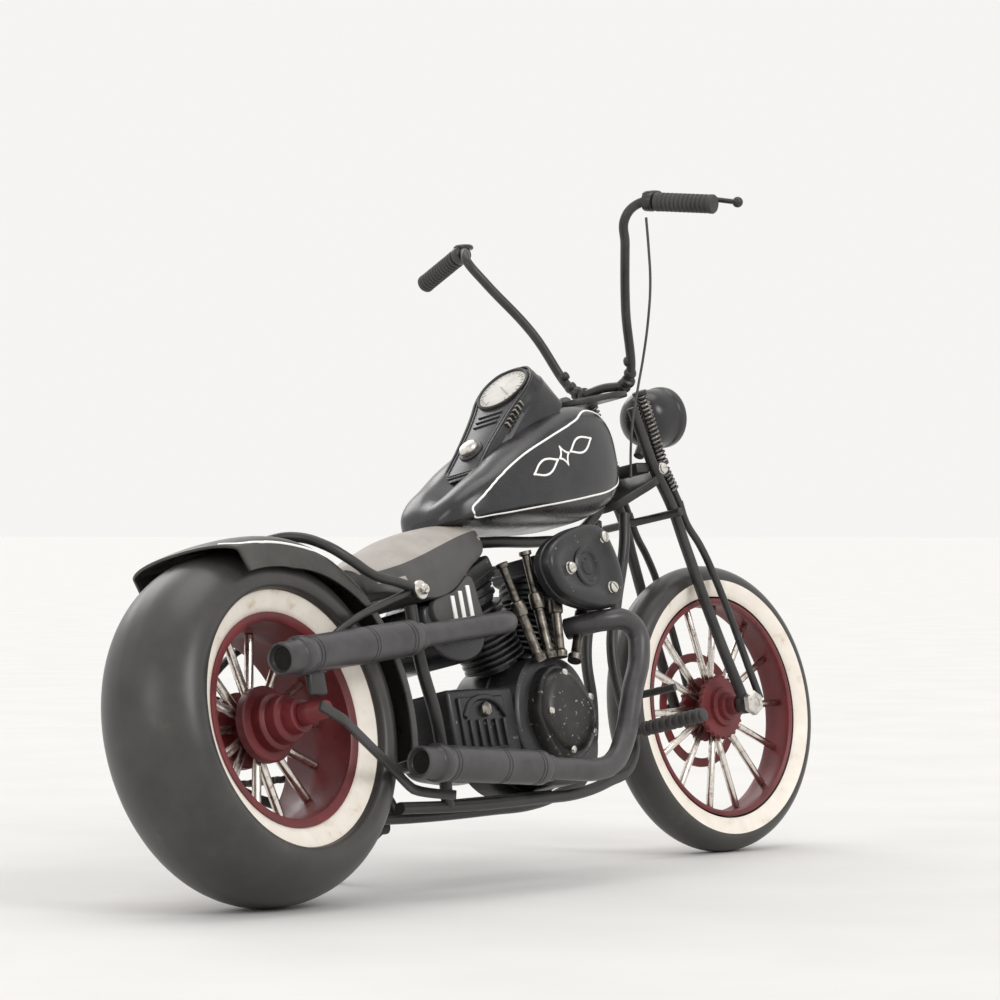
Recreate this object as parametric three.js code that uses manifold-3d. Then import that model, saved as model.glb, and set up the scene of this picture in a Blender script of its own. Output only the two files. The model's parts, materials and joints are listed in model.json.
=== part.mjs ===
// A hand-made metal model of a bobber motorcycle, about a third of a metre long, on its side stand.
// Every piece is drawn on an upright bike: X forwards, Y to the rider's left, Z up, and the origin
// where the rear tyre meets the ground. The fork is then turned a little to the right and the whole
// bike leaned to the left until both tyres and the stand's foot touch the same floor.
import * as THREE from "three";
import { mergeVertices } from "three/addons/utils/BufferGeometryUtils.js";
import Module from "manifold-3d";

// Driving dimensions, in millimetres and degrees.
const WHEELBASE = 225;
const LEAN = 13.16; // to the left, onto the side stand
const STEER = -7.03; // the fork at rest, turned to the right
const RAKE = 26.07; // steering axis, back from vertical
const NECK_X = 157.96; // where the steering axis passes NECK_Z
const NECK_Z = 180;
const WHEEL_TILT = 2.43; // the front wheel sits this far out of the fork's plane
const GAP = 0.35; // between pieces that touch

const REAR_R = 49.53; // tyre outside radius
const REAR_HALF = 17.2; // half the tyre's width
const FRONT_R = 46.04;
const FRONT_HALF = 6.8;
const FRONT_AXLE_Z = 46.23;
const SETTLE = 0.577; // how far the rear tyre's round shoulder lifts the leaning bike
const REAR_AXLE = new THREE.Vector3(0, 0, REAR_R);
const FRONT_AXLE = new THREE.Vector3(WHEELBASE, 0, FRONT_AXLE_Z);
const SPOKES = 14;
const AXLE_R = 1.5;
const BORE_R = AXLE_R + GAP;

const TUBE_R = 1.7; // frame tubes
const LEG_R = 1.7; // rear fork legs
const THIN_LEG_R = 1.15; // sprung fork legs
const BAR_R = 1.5; // handlebar
const GRIP_R = 3.0;
const STAY_R = 1.1; // thin tubes from the seat bolt to the axle
const CABLE_R = 0.4;
const SHEET = 0.9; // fender and plates

const wasm = await Module();
wasm.setup();

// Materials: black enamel on metal, oxide-red wheels, bare worn metal and rubber.
const paint = (color, roughness, metalness) =>
  new THREE.MeshStandardMaterial({ color, roughness, metalness });
const blackSteel = paint(0x2a292a, 0.45, 0.5);
const blackEnamel = paint(0x1c1b1c, 0.3, 0.3);
const wornMetal = paint(0x6b6863, 0.45, 0.8);
const brightMetal = paint(0xc9c6c0, 0.3, 0.9);
const redPaint = paint(0x6e2027, 0.5, 0.2);
const blackRubber = paint(0x2c2c2b, 0.7, 0.0);
const seatPaint = paint(0x6f6b68, 0.6, 0.1);
const whiteDial = paint(0xe4e3df, 0.5, 0.0);
const clearLens = paint(0xd8d8d4, 0.1, 0.0);

const radians = THREE.MathUtils.degToRad;
const v = (x, y, z) => new THREE.Vector3(x, y, z);

// ---- Geometry helpers ----

// Position only, with shared vertices merged, as the boolean library and a closed mesh need.
function bare(geometry) {
  const g = geometry.clone();
  for (const name of ["normal", "uv"]) g.deleteAttribute(name);
  return mergeVertices(g, 1e-4);
}

function toSolid(geometry) {
  const g = bare(geometry);
  return new wasm.Manifold(
    new wasm.Mesh({
      numProp: 3,
      vertProperties: g.attributes.position.array,
      triVerts: new Uint32Array(g.index.array),
    }),
  );
}

function fromSolid(solid) {
  const m = solid.getMesh();
  const g = new THREE.BufferGeometry();
  const positions = new Float32Array(m.numVert * 3);
  for (let i = 0; i < m.numVert; i++)
    positions.set(m.vertProperties.subarray(i * m.numProp, i * m.numProp + 3), i * 3);
  g.setAttribute("position", new THREE.BufferAttribute(positions, 3));
  g.setIndex(new THREE.BufferAttribute(m.triVerts, 1));
  g.computeVertexNormals();
  return g;
}

const join = (...geometries) =>
  fromSolid(geometries.map(toSolid).reduce((a, b) => a.add(b)));
const cut = (geometry, ...tools) =>
  fromSolid(tools.map(toSolid).reduce((a, b) => a.subtract(b), toSolid(geometry)));

// A bar of n sides along a smooth line through points.
function tube(points, radius, { sides = 6, steps = 12, closed = false } = {}) {
  const path = new THREE.CatmullRomCurve3(points, closed, "centripetal");
  const section = new THREE.Shape(
    Array.from({ length: sides }, (_, i) => {
      const a = (2 * Math.PI * (i + 0.5)) / sides;
      return new THREE.Vector2(radius * Math.cos(a), radius * Math.sin(a));
    }),
  );
  return new THREE.ExtrudeGeometry(section, { steps, extrudePath: path, bevelEnabled: false });
}

const rod = (from, to, radius, sides = 10) => tube([from, to], radius, { sides, steps: 1 });

// A ring or solid turned about the Y axis from a closed profile of [radius, y] points.
function turned(profile, segments = 32) {
  const area = profile.reduce((sum, [r, y], i) => {
    const [r2, y2] = profile[(i + 1) % profile.length];
    return sum + r * y2 - r2 * y;
  }, 0);
  const ordered = area > 0 ? profile : [...profile].reverse();
  const points = [...ordered, ordered[0]].map(([r, y]) => new THREE.Vector2(r, y));
  return new THREE.LatheGeometry(points, segments);
}

// Turns a geometry made about Y so that its axis points along direction, from point base.
function aim(geometry, base, direction) {
  const turn = new THREE.Quaternion().setFromUnitVectors(v(0, 1, 0), direction.clone().normalize());
  return geometry.applyQuaternion(turn).translate(base.x, base.y, base.z);
}

const mirrored = (points) => points.map((p) => v(p.x, -p.y, p.z));

// A closed skin over rings of equal length, with each end closed across its ring.
function skin(rings) {
  const n = rings[0].length;
  const positions = rings.flat().flatMap((p) => [p.x, p.y, p.z]);
  const index = [];
  for (let i = 0; i + 1 < rings.length; i++)
    for (let j = 0; j < n; j++) {
      const a = i * n + j;
      const b = i * n + ((j + 1) % n);
      index.push(a, b, a + n, b, b + n, a + n);
    }
  for (const [ring, flip] of [[0, true], [rings.length - 1, false]]) {
    const face = (...corners) => index.push(...(flip ? corners.reverse() : corners).map((j) => ring * n + j));
    for (let i = 0, k = n - 1; i + 1 < k; i++, k--) {
      face(i, i + 1, k);
      if (i + 1 < k - 1) face(i + 1, k - 1, k);
    }
  }
  const g = new THREE.BufferGeometry();
  g.setAttribute("position", new THREE.Float32BufferAttribute(positions, 3));
  g.setIndex(index);
  if (toSolid(g).volume() < 0)
    for (let i = 0; i < index.length; i += 3) [index[i], index[i + 1]] = [index[i + 1], index[i]];
  g.setIndex(index);
  return g;
}

// A flat plate from an outline of [x, z] points, standing between two values of y.
function plate(outline, yFrom, yTo, bevel = 0) {
  const shape = new THREE.Shape(outline.map(([x, z]) => new THREE.Vector2(x, z)));
  const g = new THREE.ExtrudeGeometry(shape, {
    depth: Math.abs(yTo - yFrom) - 2 * bevel,
    bevelEnabled: bevel > 0,
    bevelThickness: bevel,
    bevelSize: bevel,
    bevelOffset: -bevel,
    bevelSegments: 2,
    steps: 1,
  });
  return g.rotateX(Math.PI / 2).translate(0, Math.max(yFrom, yTo) - bevel, 0);
}

// An even outline with rounded corners through [x, z] points.
function rounded(points, count) {
  const curve = new THREE.CatmullRomCurve3(points.map(([x, z]) => v(x, 0, z)), true, "centripetal");
  return curve.getSpacedPoints(count).slice(0, -1).map((p) => [p.x, p.z]);
}

const box = (x0, x1, y0, y1, z0, z1) =>
  new THREE.BoxGeometry(x1 - x0, y1 - y0, z1 - z0).translate((x0 + x1) / 2, (y0 + y1) / 2, (z0 + z1) / 2);

// ---- The scene graph ----

const bike = new THREE.Group();
const fork = new THREE.Group();
bike.add(fork);
const bars = new THREE.Group();
fork.add(bars);

function add(group, name, geometry, material) {
  const mesh = new THREE.Mesh(geometry, material);
  mesh.name = name;
  group.add(mesh);
}

// Turns a group about a line, leaving points on that line where they are.
function turnAbout(group, point, axis, degrees) {
  group.quaternion.setFromAxisAngle(axis, radians(degrees));
  group.position.copy(point).sub(point.clone().applyQuaternion(group.quaternion));
}

const steeringAxis = v(-Math.sin(radians(RAKE)), 0, Math.cos(radians(RAKE)));
const steeringPoint = v(NECK_X, 0, NECK_Z);
// The point of the steering axis at a height.
const onNeck = (z) => v(NECK_X + (NECK_Z - z) * Math.tan(radians(RAKE)), 0, z);

// ---- Wheels ----

// A tyre's section from its outer shape: [radius, half width] from the bead to the tread.
function tyre(shape, inner) {
  const right = shape.map(([r, y]) => [r, -y]);
  const left = [...shape].reverse().slice(1);
  return turned([...right, ...left, [inner, shape[0][1]], [inner, -shape[0][1]]], 32);
}

// A hub with its spokes as one piece; each spoke leans from one flange towards the rim's middle.
function hubWithSpokes(profile, rootR, rimR, spokeR, flangeY) {
  const spokes = Array.from({ length: SPOKES }, (_, i) => {
    const a = (2 * Math.PI * i) / SPOKES;
    const side = i % 2 ? 1 : -1;
    const at = (r, y) => v(r * Math.cos(a), y * side, r * Math.sin(a));
    return rod(at(rootR, flangeY), at(rimR, flangeY * 0.3), spokeR, 5);
  });
  return join(turned(profile, 14), ...spokes);
}

const REAR_RIM_R = 29;
const REAR_BARREL = 1.6;
const RIM_HALF = 11.8;
const rearTyre = tyre(
  [
    [REAR_RIM_R + GAP, RIM_HALF],
    [35.4, 14.4],
    [36.4, 16.6],
    [38.4, REAR_HALF],
    [41.4, 15.9],
    [44.6, 13.1],
    [47.3, 9.3],
    [49.0, 4.8],
    [REAR_R, 0],
  ],
  REAR_RIM_R + GAP,
);
const rearRim = turned([
  [REAR_RIM_R, -RIM_HALF],
  [REAR_RIM_R, RIM_HALF],
  [REAR_RIM_R - REAR_BARREL, RIM_HALF],
  [REAR_RIM_R - REAR_BARREL, -RIM_HALF],
], 32);
const HUB_END = 18.4;
const SPROCKET_Y = 20.4;
const SPROCKET_R = 11.5;
const CHAIN_R = 1.1;
const rearHub = hubWithSpokes(
  [
    [BORE_R, -HUB_END],
    [4.6, -HUB_END],
    [4.9, -14.2],
    [6.6, -13.8],
    [6.8, -10.2],
    [7.9, -9.8],
    [8.1, -6.4],
    [9.6, -6.0],
    [9.6, -3.2],
    [6.5, -2.6],
    [6.5, 2.6],
    [9.6, 3.2],
    [9.6, 6.0],
    [6.6, 7.0],
    [6.0, HUB_END - 0.8],
    [5.0, HUB_END],
    [BORE_R, HUB_END],
  ],
  7.0,
  REAR_RIM_R - REAR_BARREL - GAP,
  1.05,
  4.4,
);
// The hub's left end carries the sprocket.
const sprocket = turned([
  [BORE_R, HUB_END - 2],
  [5.0, HUB_END - 2],
  [5.4, SPROCKET_Y - 0.6],
  [SPROCKET_R, SPROCKET_Y - 0.5],
  [SPROCKET_R, SPROCKET_Y + 0.5],
  [5.4, SPROCKET_Y + 0.6],
  [4.6, SPROCKET_Y + 1.6],
  [BORE_R, SPROCKET_Y + 1.6],
], 18);

const atRear = (g) => g.translate(REAR_AXLE.x, REAR_AXLE.y, REAR_AXLE.z);
add(bike, "rear_tyre", atRear(rearTyre), blackRubber);
add(bike, "rear_rim", atRear(rearRim), redPaint);
add(bike, "rear_hub_and_spokes", atRear(join(rearHub, sprocket)), redPaint);

const FRONT_RIM_R = 35.0;
const FRONT_RIM_HALF = 5.0;
const frontTyre = tyre(
  [
    [FRONT_RIM_R + GAP, FRONT_RIM_HALF],
    [38.2, 6.1],
    [40.6, FRONT_HALF],
    [42.8, 6.2],
    [44.8, 4.2],
    [FRONT_R, 0],
  ],
  FRONT_RIM_R + GAP,
);
const frontRim = turned([
  [FRONT_RIM_R, -FRONT_RIM_HALF],
  [FRONT_RIM_R, FRONT_RIM_HALF],
  [FRONT_RIM_R - 2.2, FRONT_RIM_HALF - 0.4],
  [FRONT_RIM_R - 1.6, 0],
  [FRONT_RIM_R - 2.2, 0.4 - FRONT_RIM_HALF],
], 32);
const FRONT_HUB_END = 11.6;
const frontHub = hubWithSpokes(
  [
    [BORE_R, -FRONT_HUB_END],
    [2.9, -FRONT_HUB_END],
    [3.1, -8.6],
    [4.4, -8.4],
    [4.6, -6.6],
    [6.2, -6.2],
    [6.4, -4.9],
    [9.8, -4.6],
    [9.8, -2.9],
    [5.2, -2.4],
    [5.2, 2.4],
    [9.8, 2.9],
    [9.8, 4.6],
    [6.4, 4.9],
    [4.6, 6.6],
    [3.1, 8.6],
    [2.9, FRONT_HUB_END],
    [BORE_R, FRONT_HUB_END],
  ],
  6.5,
  FRONT_RIM_R - 2.2 - GAP,
  0.95,
  3.6,
);
// The front wheel's pieces are drawn about their own axle, tilted a little, and moved into place.
const atFront = (g) => g.rotateX(radians(WHEEL_TILT)).translate(FRONT_AXLE.x, 0, FRONT_AXLE.z);
add(fork, "front_tyre", atFront(frontTyre), blackRubber);
add(fork, "front_rim", atFront(frontRim), redPaint);
add(fork, "front_hub_and_spokes", atFront(frontHub), redPaint);

// ---- Axles ----

const REAR_NOSE_END = 27.2;
const rearAxle = turned([
  [0, -REAR_NOSE_END],
  [2.4, -REAR_NOSE_END],
  [3.0, -22.0],
  [3.2, -HUB_END - GAP],
  [AXLE_R, -HUB_END - GAP],
  [AXLE_R, 22.5],
  [3.0, 22.5],
  [2.4, REAR_NOSE_END],
  [0, REAR_NOSE_END],
], 14);
add(bike, "rear_axle", atRear(rearAxle), redPaint);

const LEG_FOOT_Y = 14.3;
const NUT_FROM = LEG_FOOT_Y + LEG_R + GAP;
const NUT_TO = 19.0;
const NUT_R = 3.9;
// The front axle carries its head on the left and its nut on the right; both legs hold it.
const axlePin = turned([
  [0, -NUT_FROM + GAP],
  [AXLE_R, -NUT_FROM + GAP],
  [AXLE_R, NUT_FROM],
  [NUT_R, NUT_FROM],
  [NUT_R, NUT_TO],
  [0, NUT_TO],
], 12);
const axleNut = turned([
  [0, -NUT_TO],
  [NUT_R, -NUT_TO],
  [NUT_R, -NUT_FROM],
  [0, -NUT_FROM],
], 6);
add(fork, "front_axle", atFront(axlePin), brightMetal);
add(fork, "front_axle_nut", atFront(axleNut), brightMetal);

// ---- Springer fork ----

// Right-hand centre lines; the left ones are their mirror images.
const LEG_Y = 10.6;
const rearLeg = [
  v(195.6, -LEG_Y, 142.5),
  v(197.8, -LEG_Y, 135.2),
  v(202.2, -LEG_Y, 122.2),
  v(207.6, -LEG_Y, 110.9),
  v(210.6, -11.3, 97.9),
  v(217.6, -12.8, 70.0),
  v(225.0, -LEG_FOOT_Y, 45.6),
  v(226.0, -LEG_FOOT_Y, 41.6),
];
const frontLeg = [
  v(211.6, -LEG_Y - 0.2, 112.0),
  v(213.4, -LEG_Y - 0.2, 105.2),
  v(217.9, -11.3, 97.7),
  v(221.5, -11.7, 89.4),
  v(231.9, -13.9, 51.0),
  v(232.9, -14.2, 47.0),
];
const SPRING_R = 2.1;
const springTop = v(201.6, -LEG_Y - 0.4, 146.6);
const springFoot = v(208.0, -LEG_Y - 0.4, 122.2);
const reboundFoot = v(210.8, -LEG_Y - 0.3, 114.6);
const axleHole = atFront(rod(v(0, -20, 0), v(0, 20, 0), AXLE_R + GAP, 12));
for (const [side, flip] of [["right", (p) => p], ["left", mirrored]]) {
  const down = side === "right" ? -1 : 1;
  // The leg ends in an eye round the axle.
  const eye = turned([
    [0, -LEG_R],
    [3.0, -LEG_R],
    [3.0, LEG_R],
    [0, LEG_R],
  ], 14).translate(0, down * LEG_FOOT_Y, 0);
  const leg = join(tube(flip(rearLeg), LEG_R, { sides: 6, steps: 14 }), atFront(eye));
  add(fork, `fork_leg_${side}`, cut(leg, axleHole), blackSteel);
  add(fork, `spring_leg_${side}`, tube(flip(frontLeg), THIN_LEG_R, { sides: 6, steps: 14 }), blackSteel);
  const [top, foot, rebound] = flip([springTop, springFoot, reboundFoot]);
  const spring = join(
    rod(top, foot, SPRING_R, 12),
    rod(foot.clone().lerp(rebound, -0.08), rebound, SPRING_R * 0.8, 12),
    rod(
      v(foot.x - 2.6, down * (LEG_Y + 2.9), foot.z - 0.4),
      v(foot.x - 2.6, down * (LEG_Y + 1.9), foot.z - 0.4),
      2.6,
      12,
    ),
  );
  const legRoom = tube(flip(rearLeg), LEG_R + GAP, { sides: 6, steps: 16 });
  add(fork, `fork_spring_${side}`, cut(spring, legRoom), wornMetal);
}

// A cross rod ties the legs together above the wheel.
const BRACE = v(208.0, 0, 107.9);
add(
  fork,
  "fork_brace",
  rod(v(BRACE.x - 3.0, -15.2, BRACE.z), v(BRACE.x - 3.0, 15.2, BRACE.z), 1.2, 10),
  blackSteel,
);

// Upper and lower trees on a stem through the neck.
const STEM_R = 1.9;
const NECK_R = 3.7;
const NECK_BOTTOM_Z = 116.5;
const NECK_TOP_Z = 142.4;
// A tree is a plate from the stem forwards to the legs, rising by a slope.
function tree(z, thickness, reach, halfWidth, slope) {
  const at = onNeck(z);
  return box(-3.4, reach, -halfWidth, halfWidth, -thickness / 2, thickness / 2)
    .rotateY(radians(-slope))
    .translate(at.x, 0, at.z);
}
const along = (z, distance) => onNeck(z).addScaledVector(steeringAxis, distance);
const legRooms = [rearLeg, mirrored(rearLeg)].map((points) =>
  tube(points, LEG_R + GAP, { sides: 6, steps: 16 }),
);
const stem = rod(along(NECK_BOTTOM_Z, -4.2), along(NECK_TOP_Z, 5.4), STEM_R, 12);
const trees = cut(
  join(
    stem,
    tree(NECK_BOTTOM_Z - 2.9, 3.4, 17.5, LEG_Y + 1.2, RAKE),
    tree(NECK_TOP_Z + 2.8, 2.4, 24.4, LEG_Y + 2.6, 6),
  ),
  ...legRooms,
);
add(fork, "fork_trees", trees, blackSteel);

// ---- Handlebar, grips, lever and cable ----

const BAR_BASE = v(196.2, 0, 151.0);
const BAR_TILT = 1.3; // the bar sits a little lower on the right
const BAR_BEND = v(181.8, 38.3, 203.1);
const GRIP_END = v(186.8, 63.6, 196.9);
const gripWay = GRIP_END.clone().sub(BAR_BEND).normalize();
const gripPoint = (d) => BAR_BEND.clone().addScaledVector(gripWay, d);
const halfBar = [
  v(BAR_BASE.x, 9.8, BAR_BASE.z),
  v(195.6, 12.4, 152.6),
  v(188.6, 20.2, 172.8),
  v(180.4, 30.4, 191.2),
  v(177.6, 34.4, 198.8),
  v(180.8, 38.0, 202.5),
  gripPoint(5.0),
  gripPoint(25.2),
];
const barPath = [...mirrored([...halfBar].reverse()), v(BAR_BASE.x, 0, BAR_BASE.z), ...halfBar];
// A perch sits inboard of each grip.
const perchAt = (side) => {
  const from = gripPoint(1.0);
  const to = gripPoint(4.6);
  return rod(v(from.x, side * from.y, from.z), v(to.x, side * to.y, to.z), 3.1, 10);
};
const handlebar = join(
  tube(barPath, BAR_R, { sides: 6, steps: 40 }),
  perchAt(1),
  perchAt(-1),
);
add(bars, "handlebar", handlebar, blackSteel);
for (const [side, y] of [["right", -1], ["left", 1]]) {
  const from = gripPoint(5.0);
  const to = gripPoint(25.7);
  const grip = cut(
    rod(v(from.x, y * from.y, from.z), v(to.x, y * to.y, to.z), GRIP_R, 14),
    rod(
      v(gripPoint(0).x, y * gripPoint(0).y, gripPoint(0).z),
      v(gripPoint(25.3).x, y * gripPoint(25.3).y, gripPoint(25.3).z),
      BAR_R + GAP,
      12,
    ),
  );
  add(bars, `grip_${side}`, grip, blackRubber);
}

// The brake lever turns on a pin ahead of the right perch and ends in a ball.
const LEVER_PIVOT = v(187.8, -42.2, 203.0);
const LEVER_BALL = v(196.0, -64.4, 197.8);
const lever = join(
  tube(
    [LEVER_PIVOT, v(189.2, -47.5, 202.6), v(191.8, -54.9, 200.8), LEVER_BALL],
    0.9,
    { sides: 6, steps: 7 },
  ),
  new THREE.SphereGeometry(1.7, 10, 7).translate(LEVER_BALL.x, LEVER_BALL.y, LEVER_BALL.z),
  rod(LEVER_PIVOT.clone().add(v(0, 0, -1.2)), LEVER_PIVOT.clone().add(v(0, 0, 1.2)), 1.5, 10),
);
add(bars, "brake_lever", lever, blackSteel);

// The cable's route from under the right perch, bowed forwards, to the lower tree.
const cableRoute = [
  v(179.8, -41.0, 196.4),
  v(182.2, -38.2, 187.6),
  v(184.9, -34.6, 177.6),
  v(187.4, -29.6, 167.4),
  v(189.8, -23.6, 157.2),
  v(190.8, -18.4, 147.6),
  v(190.0, -15.4, 139.0),
  v(188.4, -13.8, 129.0),
  v(187.0, -13.2, 119.6),
];
add(fork, "brake_cable", tube(cableRoute, CABLE_R, { sides: 5, steps: 24 }), blackRubber);

// ---- Headlamp ----

const LAMP = v(215.4, 0, 141.0);
const LAMP_R = 9.9;
const LAMP_TILT = radians(-4);
// The bucket is turned about Y and then laid along X.
const alongX = (g) => g.rotateZ(-Math.PI / 2).rotateY(LAMP_TILT).translate(LAMP.x, LAMP.y, LAMP.z);
const bucket = join(
  alongX(
    turned([
      [0, -8.2],
      [3.4, -7.9],
      [6.6, -6.4],
      [8.8, -3.4],
      [LAMP_R - 0.4, 1.4],
      [LAMP_R - 0.2, 5.2],
      [LAMP_R, 5.4],
      [LAMP_R, 7.6],
      [LAMP_R - 1.1, 7.6],
      [LAMP_R - 1.1, 6.2],
      [0, 6.2],
    ], 20),
  ),
  rod(v(LAMP.x - 4, 0, LAMP.z - 7), v(LAMP.x - 7.6, 0, LAMP.z - 12.2), 1.6, 10),
);
add(fork, "headlamp", bucket, blackEnamel);
add(
  fork,
  "headlamp_lens",
  alongX(
    turned([
      [0, 6.2 + GAP],
      [LAMP_R - 1.1 - GAP, 6.2 + GAP],
      [LAMP_R - 1.6, 7.4],
      [5.0, 8.8],
      [0, 9.2],
    ], 20),
  ),
  clearLens,
);

// ---- Frame ----

const neck = turned([
  [STEM_R + GAP, 0],
  [NECK_R, 0],
  [NECK_R, 1],
  [STEM_R + GAP, 1],
], 14);
const neckLength = along(NECK_TOP_Z, -0.6).distanceTo(along(NECK_BOTTOM_Z, 1.4));
neck.scale(1, neckLength, 1);
add(bike, "steering_head", aim(neck, along(NECK_BOTTOM_Z, 1.4), steeringAxis), blackSteel);

const SEAT_BOLT = v(55.9, 0, 82.4);
const RAIL_Y = 9;
const RAIL_Z = 21.8;
const DOWN_Y = 5;
const backbone = [
  v(185.2, 0, 112.6),
  v(177.5, 0, 107.6),
  v(167.0, 0, 102.8),
  v(150.0, 0, 101.4),
  v(122.0, 0, 101.2),
  v(109.0, 0, 100.2),
  v(100.0, 0, 96.6),
  v(88.5, 0, 88.4),
  v(82.0, 0, 82.8),
];
add(bike, "backbone_tube", tube(backbone, TUBE_R, { steps: 22 }), blackSteel);

// A cradle tube on each side: down from the neck, then back under the engine.
const cradle = [
  v(189.2, -DOWN_Y - 0.6, 109.0),
  v(186.6, -DOWN_Y, 99.0),
  v(176.0, -DOWN_Y, 80.0),
  v(169.2, -DOWN_Y, 66.0),
  v(168.2, -DOWN_Y - 0.6, 50.0),
  v(167.4, -8.2, 38.0),
  v(161.0, -8.8, 28.8),
  v(148.0, -RAIL_Y, 24.8),
  v(132.0, -RAIL_Y, 22.2),
  v(112.0, -RAIL_Y, RAIL_Z),
  v(74.0, -RAIL_Y, RAIL_Z),
  v(46.0, -RAIL_Y, RAIL_Z + 1.0),
];
// From the bolt under the seat a tube runs down to the cradle, and another back to the axle.
const seatPost = [
  v(56.6, -17.4, 79.0),
  v(57.2, -16.8, 63.5),
  v(62.4, -14.8, 45.0),
  v(67.4, -9.4, 22.0),
];
const seatStay = [
  v(52.6, -20.4, 82.0),
  v(40.0, -20.4, 78.8),
  v(24.0, -20.2, 73.8),
  v(14.0, -19.0, 68.0),
  v(6.6, -19.0, 60.6),
  v(2.0, -21.4, 54.8),
];
// The left stay runs outside the chain.
const leftSeatStay = [
  v(52.6, 20.6, 82.0),
  v(40.0, 21.8, 78.8),
  v(24.0, 23.6, 73.8),
  v(6.6, 24.4, 60.6),
  v(2.0, 24.4, 54.8),
];
// The flat bar from the axle's tip to the cradle, as [x, z], and how far it draws in at x.
const axleBar = [
  [-4.8, 50.2],
  [4.0, 45.9],
  [19.2, 38.6],
  [30.0, 33.5],
  [44.0, 26.8],
  [62.0, 24.2],
];
const drawIn = (x, start, slope) => THREE.MathUtils.clamp((x - start) * slope, 0, 12);
const BAR_Y = REAR_NOSE_END + 0.8;

for (const [side, flip] of [["right", (p) => p], ["left", mirrored]]) {
  const down = side === "right" ? -1 : 1;
  const welded = join(
    tube(flip(cradle), TUBE_R, { steps: 26 }),
    tube(flip(seatPost), TUBE_R + 0.1, { steps: 6 }),
    rod(v(169.0, down * 5.6, 50.2), v(172.2, down * 23.4, 50.2), 1.2, 8),
  );
  add(bike, `cradle_tube_${side}`, welded, blackSteel);
  const stay = tube(side === "right" ? seatStay : leftSeatStay, STAY_R, { sides: 6, steps: 10 });
  add(bike, `seat_stay_${side}`, stay, blackSteel);
  const half = 1.3;
  const outline = [
    ...axleBar.map(([x, z]) => [x + 0.5, z + half]),
    ...[...axleBar].reverse().map(([x, z]) => [x - 0.5, z - half]),
  ];
  const bar = plate(outline, down * BAR_Y, down * (BAR_Y + 1.4));
  const pull = bar.attributes.position;
  for (let i = 0; i < pull.count; i++) {
    // the left bar stays outside the chain for longer
    const inward = side === "right" ? drawIn(pull.getX(i), 4, 0.3) : drawIn(pull.getX(i), 30, 0.6);
    pull.setY(i, pull.getY(i) - down * inward);
  }
  add(bike, `axle_bar_${side}`, bare(bar), blackSteel);
}

// A plate closes the cradle from below.
add(bike, "base_plate", box(70, 122, -7.0, 7.0, 22.8, 24.2), blackSteel);

// ---- Fender, its strap and bolt ----

const FENDER_R = 53.0;
const FENDER_HALF = 18.9;
// The section across the fender, as [share of half width, drop below the crown].
const fenderAcross = [-1, -1, -0.86, -0.5, 0, 0.5, 0.86, 1, 1];
function fenderRing(degrees) {
  const a = radians(degrees); // from straight up, forwards
  const skirt = THREE.MathUtils.clamp(41.0 + (degrees - 10) * 0.11, 41.0, 45.6);
  const height = (share, i) => {
    if (i === 0 || i === fenderAcross.length - 1) return skirt;
    return [0, 47.4, 50.4, 52.4, FENDER_R, 52.4, 50.4, 47.4][i];
  };
  const flare = degrees < 0 ? 0.06 * -degrees : 0;
  const outer = fenderAcross.map((share, i) => {
    // The tail's middle reaches further back than its corners.
    const lag = degrees < 0 ? (1 - Math.abs(share)) * (degrees / -18) * radians(-5) : 0;
    const r = height(share, i) + (i > 0 && i < 8 ? flare * 0.6 : 0);
    const y = share * (FENDER_HALF + flare);
    return [r, y, lag];
  });
  const inner = [...outer].reverse().map(([r, y, lag], i) => {
    const end = i === 0 || i === outer.length - 1;
    return [r - (end ? 0 : SHEET), y * (1 - SHEET / FENDER_HALF), lag];
  });
  return [...outer, ...inner].map(([r, y, lag]) =>
    v(r * Math.sin(a + lag), y, REAR_R + r * Math.cos(a + lag)),
  );
}
const fenderAngles = [-18, -13, -8, 0, 8, 16, 26, 36, 48, 60, 72, 84, 96, 106];
add(bike, "rear_fender", skin(fenderAngles.map(fenderRing)), blackEnamel);

// The strap arches over the fender between the two ends of the seat bolt.
const STRAP_R = 1.4;
const strap = [
  v(54.0, -21.2, 84.4),
  v(46.0, -21.6, 85.2),
  v(37.0, -21.4, 87.2),
  v(29.6, -20.4, 91.8),
  v(24.6, -16.4, 96.9),
  v(21.4, -9.6, 100.7),
  v(20.0, 0, 101.8),
  v(21.4, 9.6, 100.7),
  v(24.6, 16.4, 96.9),
  v(29.6, 20.4, 91.8),
  v(37.0, 21.4, 87.2),
  v(46.0, 21.6, 85.2),
  v(54.0, 21.2, 84.4),
];
add(bike, "fender_strap", tube(strap, STRAP_R, { steps: 20 }), blackSteel);
const seatBolt = turned([
  [0, -22.4],
  [2.2, -22.4],
  [2.2, -19.9],
  [1.2, -19.9],
  [1.2, 19.9],
  [2.2, 19.9],
  [2.2, 22.4],
  [0, 22.4],
], 12).translate(SEAT_BOLT.x, 0, SEAT_BOLT.z);
add(bike, "seat_bolt", seatBolt, brightMetal);

// ---- Seat and oil tank ----

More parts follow.
